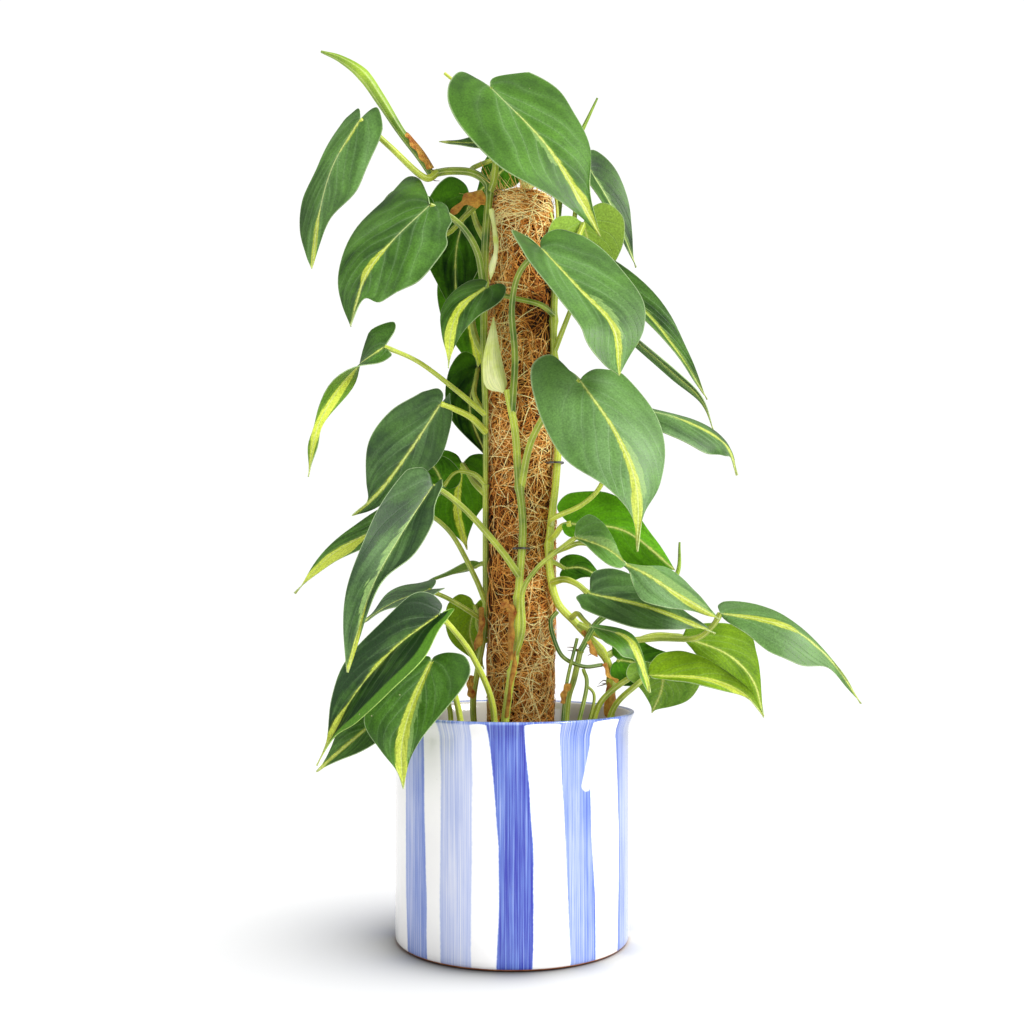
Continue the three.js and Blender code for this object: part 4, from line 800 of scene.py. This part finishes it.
def coir_look():
    look = Look("coir_fibre", 0.8, Specular_IOR_Level=0.3)
    tone = look.field("tone")
    brown = look.mix(look.ramp(tone, 0, 0.4), rgb(44, 22, 6), rgb(196, 113, 38))
    brown = look.mix(look.ramp(tone, 0.4, 0.75), brown, rgb(246, 178, 86))
    brown = look.mix(look.ramp(tone, 0.75, 1), brown, rgb(255, 236, 164))
    brown = look.value(brown, look.spread(look.noise(900, 3), 0.7, 1.3))
    look.relief(look.noise(2200, 2), 0.15)
    return look.wear(brown)


# Coir under the fibres, painted darker than them as the painted shade in the gaps between the fibres
def core_look():
    look = Look("coir_core", 0.95, Specular_IOR_Level=0.1)
    strands = look.noise(1.0, 4, look.stretch(900, 900, 260), 0.7)
    brown = look.mix(look.ramp(strands, 0.35, 0.65), rgb(30, 15, 5), rgb(90, 50, 20))
    look.relief(strands, 1.2)
    return look.wear(brown)


def wood_look():
    look = Look("stake_wood", 0.7)
    rings = look.noise(1.0, 4, look.stretch(500, 500, 22), 0.6)
    look.relief(rings, 0.3)
    return look.wear(look.mix(look.spread(rings), rgb(150, 108, 64), rgb(206, 168, 116)))


def soil_look():
    look = Look("potting_soil", 0.95, Specular_IOR_Level=0.2)
    lumps, grain = look.noise(260, 4, rough=0.65), look.noise(1300, 3)
    brown = look.mix(look.ramp(lumps, 0.35, 0.65), rgb(24, 16, 11), rgb(78, 54, 38))
    brown = look.mix(look.ramp(look.field("tone"), 0, 1, 0, 0.8), brown, rgb(134, 96, 64))
    look.relief(look.plus(lumps, look.times(grain, 0.4)), 0.8)
    return look.wear(look.value(brown, look.spread(grain, 0.75, 1.25)))


# Sheath skin: fine parallel veins, or a crinkled dry skin
def sheath_look(name, low, high, roughness, crinkle):
    look = Look(name, roughness)
    lines = look.join(look.times(look.field("edge"), 16), 0.0, look.times(look.field("vein"), 3))
    lines = look.noise(1.0, 2, lines)
    cloud = look.noise(220 if crinkle > 0.3 else 90, 4, rough=0.6)
    colour = look.mix(look.spread(cloud), low, high)
    colour = look.value(colour, look.spread(lines, 0.8, 1.2))
    look.relief(look.plus(lines, cloud), crinkle)
    return look.wear(colour)


# Glaze: milky white over clay, with brushed blue stripes whose bristle marks run upwards
def glaze_look():
    look = Look("glaze", 0.13, Specular_IOR_Level=0.55, Coat_Weight=0.4, Coat_Roughness=0.05)
    band, place, strength = look.field("band"), look.field("place"), look.field("strength")
    wobble = look.noise(1.0, 1, look.stretch(24, 24, 22))
    fine = look.noise(1.0, 2, look.stretch(160, 160, 420))
    reach = look.plus(band, look.spread(wobble, -0.25, 0.25))
    reach = look.plus(reach, look.spread(fine, -0.1, 0.1))
    mask = look.ramp(reach, -0.35, 0.35)
    ring = look.vector("NORMALIZE", look.vector("MULTIPLY", look.place, (1, 1, 0)))
    ring = look.vector("MULTIPLY", ring, (112, 112, 0))
    upright = look.vector("MULTIPLY", look.place, (0, 0, 9))
    marks = look.noise(1.0, 4, look.vector("ADD", ring, upright), 0.75)
    wash = look.noise(1.0, 2, look.stretch(84, 84, 26))
    paint = look.times(look.ramp(marks, 0.34, 0.66, 0.5, 1.36), look.spread(wash, 0.85, 1.12))
    paint = look.times(paint, strength)
    pooled = look.ramp(look.calc("ABSOLUTE", look.calc("SUBTRACT", place, 0.5)), 0.38, 0.48, 0, 0.18)
    paint = look.times(look.plus(paint, look.times(pooled, strength)), mask)
    milky = look.mix(look.spread(look.noise(35, 3)), rgb(248, 247, 246), rgb(253, 252, 250))
    colour = look.mix(look.ramp(paint, 0.0, 0.3), milky, rgb(184, 195, 232))
    colour = look.mix(look.ramp(paint, 0.3, 0.62), colour, rgb(102, 130, 208))
    colour = look.mix(look.ramp(paint, 0.62, 1.05), colour, rgb(38, 44, 164))
    colour = look.dots(colour, 120.0, 0.35, 31, 0.64, rgb(120, 110, 104))
    # The inner wall is painted grey, as painted shade inside the pot
    colour = look.mix(look.times(look.field("inside"), 0.95), colour, rgb(186, 181, 170))
    look.relief(look.plus(look.noise(28, 3), look.times(mask, 0.12)), 0.35)
    return look.wear(colour)


def clay_look():
    look = Look("bare_clay", 0.85)
    grain = look.noise(1400, 3)
    clay = look.mix(look.spread(look.noise(160, 3)), rgb(168, 96, 58), rgb(204, 136, 92))
    look.relief(grain, 0.2)
    return look.wear(look.value(clay, look.spread(grain, 0.85, 1.15)))


def wire_look():
    look = Look("pin_wire", 0.4, Metallic=0.8)
    rust = look.ramp(look.noise(700, 3), 0.45, 0.65)
    look.relief(look.noise(1500, 2), 0.05)
    return look.wear(look.mix(rust, rgb(120, 122, 124), rgb(84, 62, 48)),
                     look.ramp(rust, 0, 1, 0.35, 0.75))


LEAF_TOP = leaf_look("leaf_upper", DARK_GREEN, LIGHT_GREEN, 0.17, 0.18, 0.46, 0.35)
# A darker, less glossy copy of the leaf skin for the leaves in shade: its green is painted shade
LEAF_PAINTED_SHADE = leaf_look("leaf_shaded", PAINTED_SHADE_DARK, PAINTED_SHADE_LIGHT, 0.1, 0.02, 0.7, 0.12)
LEAF_YOUNG = leaf_look("leaf_young", rgb(50, 90, 4), rgb(128, 164, 24), 0.15, 0.06, 0.6, 0.12)
LEAF_BACK = leaf_look("leaf_under", BACK_DARK, BACK_LIGHT, 0.45, 0.08, 0.6, 0.25)
STEM = stem_look("stem_skin", rgb(50, 98, 12), rgb(212, 226, 74), rgb(240, 242, 170), 0.45)
NEW_LEAF = stem_look("new_leaf_skin", rgb(50, 100, 8), rgb(170, 204, 48), rgb(222, 234, 150), 0.42)
ROOT = stem_look("rootlet_skin", rgb(88, 58, 32), rgb(128, 88, 50), rgb(150, 110, 70), 0.8)
PALE = sheath_look("pale_sheath", rgb(220, 234, 112), rgb(252, 254, 196), 0.55, 0.25)
DRIED = sheath_look("dried_sheath", rgb(176, 78, 14), rgb(255, 200, 84), 0.7, 1.1)
COIR, CORE, WOOD, SOIL, GLAZE, CLAY, WIRE = (make() for make in (
    coir_look, core_look, wood_look, soil_look, glaze_look, clay_look, wire_look))

STEM_FIELDS = ["ridge", "tone"]
LEAF_FIELDS = [*STEM_FIELDS, "haze", "glow", "lime", "pale", "edge", "vein", "rib", "roll"]


LARGE_LEAF = 30


# A stalk is thickest at the stem and has a slight knee under the blade
def stalk_radius(leaf, t):
    thick = WIDE_STALK if leaf["width"] > WIDE_LEAF else 1
    return thick * between(STALK_RADII, t) * (1 + 0.18 * math.exp(-((t - 0.94) / 0.05) ** 2))


# Leaves with their stalks
def make_leaves():
    for name, leaf in LEAVES.items():
        pieces = Pieces(LEAF_FIELDS)
        rows, columns = (56, 14) if leaf["width"] > LARGE_LEAF else (40, 9)
        blade(pieces, leaf, EDGES.get(name, (HEART, HEART)), rows, columns, 0.13,
              PAINT.get(name, PLAIN_PAINT))
        points = [*stem_points(leaf["stalk"], leaf["soil"]), seen(leaf["rib"][0])]
        tube(pieces, Spline(points), lambda t: stalk_radius(leaf, t), 10, 10 * len(points), look=2,
             tones=STALK_TONES.get(name, (0.6, 0.6)))
        upper = LEAF_PAINTED_SHADE if name in SHADED else LEAF_YOUNG if name in YOUNG else LEAF_TOP
        under = LEAF_PAINTED_SHADE if name == "leaf_29" else LEAF_BACK
        pieces.finish(name.replace("leaf", "Leaf"), [upper, under, STEM], [name])


def vine_radius(vine, t):
    swell, ring = (sum(math.exp(-((t - knot) / reach) ** 2) for knot in vine["knots"])
                   for reach in (KNOT_LENGTH, KNOT_LENGTH / 4))
    slim = STEM_SLIMMER * min(1, vine["thin"] + t)
    return slim * vine["radius"] * (1 + KNOT_SWELL * swell + 0.06 * ring - VINE_TAPER * t)


# Climbing stems and the short roots at their knots
def make_vines():
    roots = Pieces(STEM_FIELDS)
    for name, vine in VINES.items():
        curve = Spline(stem_points(vine["path"], vine["rooted"]))
        pieces = Pieces(STEM_FIELDS)
        tube(pieces, curve, lambda t: vine_radius(vine, t), 14, 180, ridge=0.03, tones=VINE_TONES[name])
        pieces.finish("Stem_" + name, [STEM], ["vine_" + name])
        for knot in vine["knots"]:
            place = curve.at(knot)
            for _ in range(4):
                aim = unit(np.array([POLE_X, 0, place[2]]) - place) + rng.normal(0, 0.5, 3)
                aim = unit(aim)
                side = unit(np.cross(aim, rng.normal(0, 1, 3)))
                reach = rng.uniform(5, 10)
                path = [place + aim * vine["radius"] * 0.6, place + aim * reach * 0.6 + side,
                        place + aim * reach + side * rng.uniform(-2, 2)]
                tube(roots, Spline(path), lambda t: 0.55 * (1 - 0.75 * t), 6, 8, ridge=0)
    roots.finish("Rootlets", [ROOT])
    young = Pieces(STEM_FIELDS)
    for path, radius, tone, rooted in YOUNG_STEMS:
        tube(young, Spline(stem_points(table(path), rooted)), lambda t: radius * (1 - 0.2 * t), 10, 60,
             tones=(tone, tone))
    young.finish("Young_stems", [STEM])


def make_shoots():
    for name, shoot in SHOOTS.items():
        pieces = Pieces(STEM_FIELDS)
        curve = Spline([seen(point) for point in shoot["path"]])
        tube(pieces, curve, lambda t: between(shoot["radii"], t), 12, 90, ridge=0.05,
             tones=(0.15, 0.2, 0.35, 0.7, 0.8, 0.6, 0.3))
        pieces.finish(name.replace("shoot", "New_leaf"), [NEW_LEAF], [name])


def make_sheaths():
    for name, sheath in SHEATHS.items():
        pieces = Pieces(LEAF_FIELDS)
        blade(pieces, sheath, [SHEATH_EDGES.get(name, LANCE)] * 2, 30, 9, 0.15, PLAIN_PAINT, looks=(0, 0))
        look = PALE if sheath["look"] == "pale" else DRIED
        pieces.finish(name.replace("sheath", "Sheath"), [look], [name])
    husks = Pieces(LEAF_FIELDS)
    for width, rib, bends, pale in HUSKS:
        blade(husks, blade_shape(width, rib, bends + HUSK_CURL), [SHEATH_EDGES["sheath_low"]] * 2, 24, 6,
              0.2, PLAIN_PAINT, looks=(pale, pale))
    husks.finish("Husks", [DRIED, PALE])


def make_pins():
    for name, at in PINS.items():
        middle = seen(at)
        out = unit(np.array([middle[0] - POLE_X, middle[1], 0]))
        side = np.array([-out[1], out[0], 0]) * PIN_HALF_WIDTH
        high, low = middle + out * PIN_OVER_STEM, middle - out * PIN_LEG_DEPTH
        pieces = Pieces(STEM_FIELDS)
        tube(pieces, Spline([low + side, middle + side, high, middle - side, low - side]),
             lambda t: PIN_RADIUS, 10, 60, ridge=0)
        pieces.finish(name.replace("pin", "Pin"), [WIRE], [name])


# The radius of the coir's surface at a height
def coir_radius(z):
    part = np.clip((z - POLE_FOOT) / (POLE_TOP - POLE_TOP_ROUND - POLE_FOOT), 0, 1)
    body = POLE_RADIUS + COIR_BULGE * (np.sin(part * math.pi) - 0.5)
    shoulder = np.clip((z - POLE_TOP + POLE_TOP_ROUND) / POLE_TOP_ROUND, 0, 1)
    return body - 1.5 * POLE_TOP_ROUND * shoulder**2.2


def make_coir():
    core = Pieces([])
    rows, sides = 150, 72
    z = np.linspace(POLE_FOOT, POLE_TOP, rows)[:, None]
    angle = (np.arange(sides) / sides * TURN)[None, :]
    rough = np.sin(angle * 5 + z * 0.11) + np.sin(angle * 3 - z * 0.073 + 1)
    radius = coir_radius(z) - CORE_BELOW_FIBRES + COIR_RELIEF * rough + rng.normal(0, 0.3, (rows, sides))
    points = np.stack([POLE_X + radius * np.cos(angle), radius * np.sin(angle),
                       np.broadcast_to(z, radius.shape)], -1)
    core.add(points.reshape(-1, 3), grid_faces(rows, sides, wrap=True))
    lid = [(rows - 1) * sides + side for side in range(sides)]
    core.add([[POLE_X, 0, POLE_TOP - 1]], np.zeros((0, 3), int))
    core.join([[a, b, rows * sides] for a, b in zip(lid, lid[1:] + lid[:1])], 0, 0)
    core.finish("Coir_core", [CORE], ["coir_pole"])
    stems = np.vstack([Spline(stem_points(vine["path"], vine["rooted"])).at(np.linspace(0, 1, 160))
                       for vine in VINES.values()])
    for batch in range(FIBRE_BATCHES):
        make_fibres(f"Coir_fibres_{batch + 1}", FIBRES, stems)
    make_wisps()


FIBRE_BATCHES = 3
FIBRES = 5200
FIBRE_STEPS = 6
LOOSE_SHARE = 0.06
CLEAR_OF_STEMS = 3.1

# The height between which the fibres lie round the pole like a tie
TIE_LOW = 455
TIE_HIGH = 472

# Patches of painted shade and painted light on the coir, such as the shadow under leaf 5:
# direction, height, reach and change of the shade
COIR_PAINTED_SHADE_AND_LIGHT = [(-0.95, 412, 34, -0.5), (-2.2, 232, 75, -0.2), (-1.1, 175, 34, 0.2),
                (-2.2, 392, 40, 0.1)]


# Thin three-sided fibres that lie over each other on the pole, clear of the stems
def make_fibres(name, count, stems):
    steps = FIBRE_STEPS
    s = np.linspace(0, 1, steps)[None, :]
    z0 = rng.uniform(SOIL_TOP - 6, POLE_TOP + 1, count)
    tied = (z0 > TIE_LOW) & (z0 < TIE_HIGH)
    heading = np.where(tied, rng.normal(0, 0.25, count), rng.uniform(-math.pi, math.pi, count))
    reach = rng.uniform(10, 36, count)
    bend = rng.normal(0, 1.2, count)
    way = heading[:, None] + bend[:, None] * (s - 0.5)
    step = reach[:, None] / (steps - 1)
    turn = np.cumsum(np.cos(way) * step, axis=1) / POLE_RADIUS
    climb = np.sin(way) * step
    z = z0[:, None] + np.cumsum(climb, axis=1) - climb.sum(1)[:, None] / 2
    over = np.maximum(z - POLE_TOP, 0)
    z = np.minimum(z, POLE_TOP + 0.5)
    angle = rng.uniform(0, TURN, count)[:, None] + turn
    depth = rng.uniform(0, 1, count) ** 1.3
    lift = 2.3 * depth[:, None] - 1.8
    lift = lift + rng.uniform(0, 1.2, count)[:, None] * np.sin(s * math.pi)
    loose = (rng.uniform(0, 1, count) < LOOSE_SHARE)[:, None]
    lift = lift + loose * rng.uniform(0.5, 2.4, count)[:, None] * s**2
    radius = np.maximum(coir_radius(z) + lift - over, 1)
    path = np.stack([POLE_X + radius * np.cos(angle), radius * np.sin(angle), z], -1)
    near = np.zeros(count, bool)
    for part in range(steps):
        gap = np.linalg.norm(path[:, part, None] - stems[None], axis=-1).min(1)
        near |= gap < CLEAR_OF_STEMS
    keep = ~near & (path[:, :, 2].min(1) > SOIL_TOP - 4)
    path, z0, depth = path[keep], z0[keep], depth[keep]
    count = len(path)
    # Fibres that lie lower in the mat are painted darker, as painted shade between the fibres, and those
    # at the pole's top lighter, as painted light
    tone = rng.normal(0.05, 0.15, count) + 0.95 * depth**1.5 + 0.2 * np.clip((z0 - 400) / 60, 0, 1)
    turned = angle[keep, 0]
    clumps = np.sin(3 * turned + 0.06 * z0) * np.sin(0.11 * z0 + 1)
    tone += 0.09 * (clumps + np.sin(0.31 * z0 + 5 * turned))
    # Painted shade and painted light in patches over the fibres' tone
    for towards, level, spread, change in COIR_PAINTED_SHADE_AND_LIGHT:
        narrow = np.exp(5 * (np.cos(turned - towards) - 1) - ((z0 - level) / spread) ** 2)
        tone += change * narrow
    tone = np.clip(tone, 0, 1)
    forward = unit(np.gradient(path, axis=1))
    out = unit((path - np.array([POLE_X, 0, 0])) * np.array([1, 1, 0]))
    side = unit(np.cross(forward, out))
    third = np.cross(side, forward)
    thick = rng.uniform(0.16, 0.4, count)[:, None, None] * (1 - 0.75 * s**3)[..., None]
    rings = [path + thick * (side * math.cos(a) + third * math.sin(a)) for a in (0.5, 2.6, 4.7)]
    points = np.stack(rings, 2).reshape(-1, 3)
    one = grid_faces(steps, 3, wrap=True, flip=True)
    faces = (one[None] + (np.arange(count) * steps * 3)[:, None, None]).reshape(-1, 4)
    pieces = Pieces(["tone"])
    pieces.add(points, faces, tone=np.repeat(tone, steps * 3))
    pieces.finish(name, [COIR])


# Loose pale fibres that stand up from the pole's top
def make_wisps():
    wisps = Pieces(STEM_FIELDS)
    for _ in range(110):
        angle, away = rng.uniform(0, TURN), POLE_RADIUS * math.sqrt(rng.uniform(0, 0.9))
        out = np.array([math.cos(angle), math.sin(angle), 0])
        foot = np.array([POLE_X, 0, POLE_TOP - 4]) + out * away
        aim = unit(np.array([-0.25, 0, 0.9]) + 0.5 * out + rng.normal(0, 0.45, 3))
        sway, reach = rng.normal(0, 1, 3), rng.uniform(7, 22)
        path = [foot, foot + aim * reach * 0.5 + sway * 1.5, foot + aim * reach + sway * 4]
        shade = rng.uniform(0.75, 1)
        tube(wisps, Spline(path), lambda t: 0.26 * (1 - 0.7 * t), 4, 8, ridge=0, tones=(shade, shade))
    wisps.finish("Coir_wisps", [COIR])


POT_SIDES = 320
STRIPE_FOOT = 1.2
STRIPE_END = 2.2

# A bare drop in one stripe: its place in degrees from the front, its height, half its width in
# degrees and the length of its tail
DROP_AT = 36.2
DROP_HEIGHT = 107
DROP_HALF = 2.9
DROP_TAIL = 26


# Pot: turned on a wheel, with a slightly uneven wall
def make_pot():
    inner, lip = POT_RADIUS - POT_WALL, POT_RADIUS + LIP_FLARE
    outline = [(0, 0.6), (60, 0.6), (68, 0), (72.4, 0), (73.6, 0.6), (74.6, 1.6), (POT_RADIUS, 3)]
    heights = [*np.linspace(6, 96, 40), *np.linspace(97, 112, 20), *np.linspace(114, POT_HEIGHT - 12, 12)]
    outline += [(POT_RADIUS, z) for z in heights]
    outline += [(75.3, 136.5), (75.9, 138.6), (76.7, 140.6), (77.5, 142.4), (78.1, 143.9),
                (lip, 145.1), (78.3, 145.7), (77.7, POT_HEIGHT)]
    outer = len(outline) - 2
    outline += [(76.6, POT_HEIGHT), (75.6, 145.5), (74.5, 144.2)]
    outline += [(73.2, 140.8), (72.2, 136.5), (71.4, 132), (inner, 127)]
    outline += [(inner, z) for z in np.linspace(118, POT_FLOOR + FOOT_BEVEL, 10)]
    outline += [(inner - FOOT_BEVEL, POT_FLOOR), (0, POT_FLOOR)]
    outline = np.array(outline)
    sides = POT_SIDES
    degree = np.arange(sides) / sides * 360 - 180
    turn = np.radians(degree)
    waver = 0.12 * np.sin(2 * turn + 0.6) + 0.07 * np.sin(3 * turn + 2)
    radius = np.maximum(outline[:, :1] + waver * (outline[:, :1] > 60), 0)
    height = outline[:, 1:] + 0 * radius
    points = np.stack([radius * np.sin(turn), -radius * np.cos(turn), height], -1)
    bands, places, strengths = (np.zeros(points.shape[:2]) for _ in range(3))
    bands -= 90
    outside = (np.arange(len(outline)) > 3) & (np.arange(len(outline)) < outer)
    for first, second, strength, lean in STRIPES:
        left = np.interp(height[:, :1], STRIPE_HEIGHTS, first)
        right = np.interp(height[:, :1], STRIPE_HEIGHTS, second)
        centre, half = (left + right) / 2, (right - left) / 2
        away = (degree[None] - centre + 180) % 360 - 180
        gap = half - np.abs(away)
        nearer = gap > bands
        bands = np.where(nearer, gap, bands)
        places = np.where(nearer, (away / half + 1) / 2, places)
        strengths = np.where(nearer, strength * (1 + lean * np.clip(away / half, -1, 1)), strengths)
    bands = np.minimum(bands, np.minimum(height - STRIPE_FOOT, POT_HEIGHT - height) * STRIPE_END)
    above = height - DROP_HEIGHT
    middle = degree[None] - DROP_AT - np.maximum(above, 0) * 0.1
    drop = np.where(above < 0, np.hypot(middle, above * 0.76) - DROP_HALF,
                    np.abs(middle) - DROP_HALF * (1 - above / DROP_TAIL))
    bands = np.where((above > -8) & (above < DROP_TAIL), np.minimum(bands, drop), bands)
    rim = (outline[:, 1] > 144.8)[:, None]
    bands = np.where(outside[:, None], bands, -9)
    bands = np.where(rim, 1.2, bands)
    strengths = np.where(rim, 0.55, strengths)
    faces = grid_faces(len(outline), sides, wrap=True)
    clay = np.repeat(outline[:-1, 1] < 0.7, sides) & np.repeat(np.arange(len(outline) - 1) < 5, sides)
    # Faces inside the pot, which get the painted shade of the inner wall
    inside = np.repeat((np.arange(len(outline)) > outer + 3).astype(float), sides)
    pieces = Pieces(["band", "place", "strength", "inside"])
    pieces.add(points.reshape(-1, 3), faces, band=bands.ravel(), place=places.ravel(), inside=inside,
               strength=strengths.ravel())
    pieces.looks = [np.where(clay, 1, 0)]
    pieces.finish("Pot", [GLAZE, CLAY], ["pot"], sharp=50)


CRUMBS = 900
CRUMB_REACH = 68.5


def soil_height(x, y):
    return SOIL_TOP + SOIL_BUMP * np.sin(x * 0.16 + 1) * np.cos(y * 0.19)


# Soil with crumbs on it, which stay clear of the pole
def make_soil():
    rings, sides = 46, 120
    radius = (np.linspace(0.02, 1, rings) * (POT_RADIUS - POT_WALL - 0.35))[:, None]
    angle = (np.arange(sides) / sides * TURN)[None, :]
    x, y = radius * np.cos(angle), radius * np.sin(angle)
    z = soil_height(x, y)
    rough = np.array([[noise.fractal(Vector((a * 0.16, b * 0.16, 3.1)), 0.8, 2.1, 4)
                       for a, b in zip(p, q)] for p, q in zip(x, y)])
    points = np.stack([x, y, z + rough * 1.5], -1).reshape(-1, 3)
    pieces = Pieces(["tone"])
    pieces.add(points, grid_faces(rings, sides, wrap=True, flip=True))
    solid = np.array([[a, b, c] for a in (-1, 1) for b in (-1, 1) for c in (-1, 1)], float)
    corners = [[0, 1, 3, 2], [4, 6, 7, 5], [0, 4, 5, 1], [2, 3, 7, 6], [0, 2, 6, 4], [1, 5, 7, 3]]
    for _ in range(CRUMBS):
        r, a = math.sqrt(rng.uniform(0.01, 1)) * CRUMB_REACH, rng.uniform(0, TURN)
        place = np.array([r * math.cos(a), r * math.sin(a), SOIL_TOP])
        if math.hypot(place[0] - POLE_X, place[1]) < POLE_RADIUS + 2:
            continue
        place[2] = soil_height(place[0], place[1]) + 0.4
        size = rng.uniform(0.5, 1.5) * np.array([1.4, 1, 0.7]) * rng.uniform(0.7, 1.3, 3)
        spin, _ = np.linalg.qr(rng.normal(0, 1, (3, 3)))
        crumb = (solid * rng.uniform(0.6, 1, (8, 3)) * size) @ spin
        pieces.add(crumb + place, corners, tone=float(rng.uniform(0, 1) ** 2))
    pieces.finish("Potting_soil", [SOIL], ["soil"], sharp=35)


def carry_over():
    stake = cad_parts["pole_stake"]
    stake.data.materials.clear()
    stake.data.materials.append(WOOD)


FLOOR_HALF = 6


# Floor, light and camera. The darker ring on the floor is the shade at the pot's foot.
def make_stage():
    mesh = bpy.data.meshes.new("Floor")
    corners = [(x * FLOOR_HALF, y * FLOOR_HALF, 0) for x, y in ((-1, -1), (1, -1), (1, 1), (-1, 1))]
    mesh.from_pydata(corners, [], [(0, 1, 2, 3)])
    floor = bpy.data.objects.new("Floor", mesh)
    look = Look("floor", 0.9, Specular_IOR_Level=0.0)
    plain = look.mix(look.noise(4, 2), rgb(240, 240, 240), rgb(244, 244, 244))
    beside = look.vector("ADD", look.place, (0.003, 0.013, 0))
    away = look.add("ShaderNodeVectorMath", {0: beside}, operation="LENGTH").outputs["Value"]
    near = look.calc("POWER", 0.5, look.times(look.calc("SUBTRACT", away, 0.063), 110))
    mesh.materials.append(look.wear(look.mix(near, plain, rgb(128, 128, 130))))
    bpy.context.scene.collection.objects.link(floor)
    world = bpy.data.worlds.new("Studio")
    bpy.context.scene.world = world
    world.use_nodes = True
    sky = world.node_tree.nodes["Background"]
    sky.inputs["Color"].default_value = (1, 1, 1, 1)
    ray = world.node_tree.nodes.new("ShaderNodeLightPath")
    level = world.node_tree.nodes.new("ShaderNodeMapRange")
    level.inputs["To Min"].default_value, level.inputs["To Max"].default_value = 0.46, 1.05
    world.node_tree.links.new(ray.outputs["Is Camera Ray"], level.inputs["Value"])
    world.node_tree.links.new(level.outputs["Result"], sky.inputs["Strength"])
    spare_floor, only_floor, only_pot = (bpy.data.collections.new(name) for name in (
        "Spare_floor", "Only_floor", "Only_pot"))
    spare_floor.objects.link(floor)
    spare_floor.collection_objects[0].light_linking.link_state = "EXCLUDE"
    only_floor.objects.link(floor)
    only_pot.objects.link(bpy.data.objects["Pot"])
    lamps = {"Sun": ("SUN", (1.0, -0.62, 1.05), math.radians(28), 3.5, spare_floor, None),
             "Fill": ("AREA", (-1.2, -1.5, 1.0), 1.2, 8, spare_floor, None),
             "Floor_sun": ("SUN", (0.42, -0.03, 1.16), math.radians(56), 2.75, only_floor, only_pot)}
    for name, (kind, place, wide, power, lit, shading) in lamps.items():
        light = bpy.data.lights.new(name, kind)
        light.energy = power
        setattr(light, "angle" if kind == "SUN" else "size", wide)
        lamp = bpy.data.objects.new(name, light)
        lamp.location = place
        lamp.rotation_mode = "QUATERNION"
        lamp.rotation_quaternion = (Vector((0, 0, 0.25)) - Vector(place)).to_track_quat("-Z", "Y")
        lamp.light_linking.receiver_collection = lit
        if shading:
            lamp.light_linking.blocker_collection = shading
        bpy.context.scene.collection.objects.link(lamp)
    camera = bpy.data.objects.new("Camera", bpy.data.cameras.new("Camera"))
    camera.data.lens, camera.data.sensor_width = 42.19, 36
    camera.data.shift_y = 0.084
    camera.data.clip_start, camera.data.clip_end = 0.05, 20
    camera.location = (0, -VIEWER_DISTANCE * MM, VIEWER_HEIGHT * MM)
    camera.rotation_euler = (math.pi / 2, 0, 0)
    bpy.context.scene.collection.objects.link(camera)
    bpy.context.scene.camera = camera
    bpy.context.scene.view_settings.view_transform = "Standard"


make_leaves()
make_vines()
make_shoots()
make_sheaths()
make_pins()
make_coir()
make_pot()
make_soil()
carry_over()
make_stage()
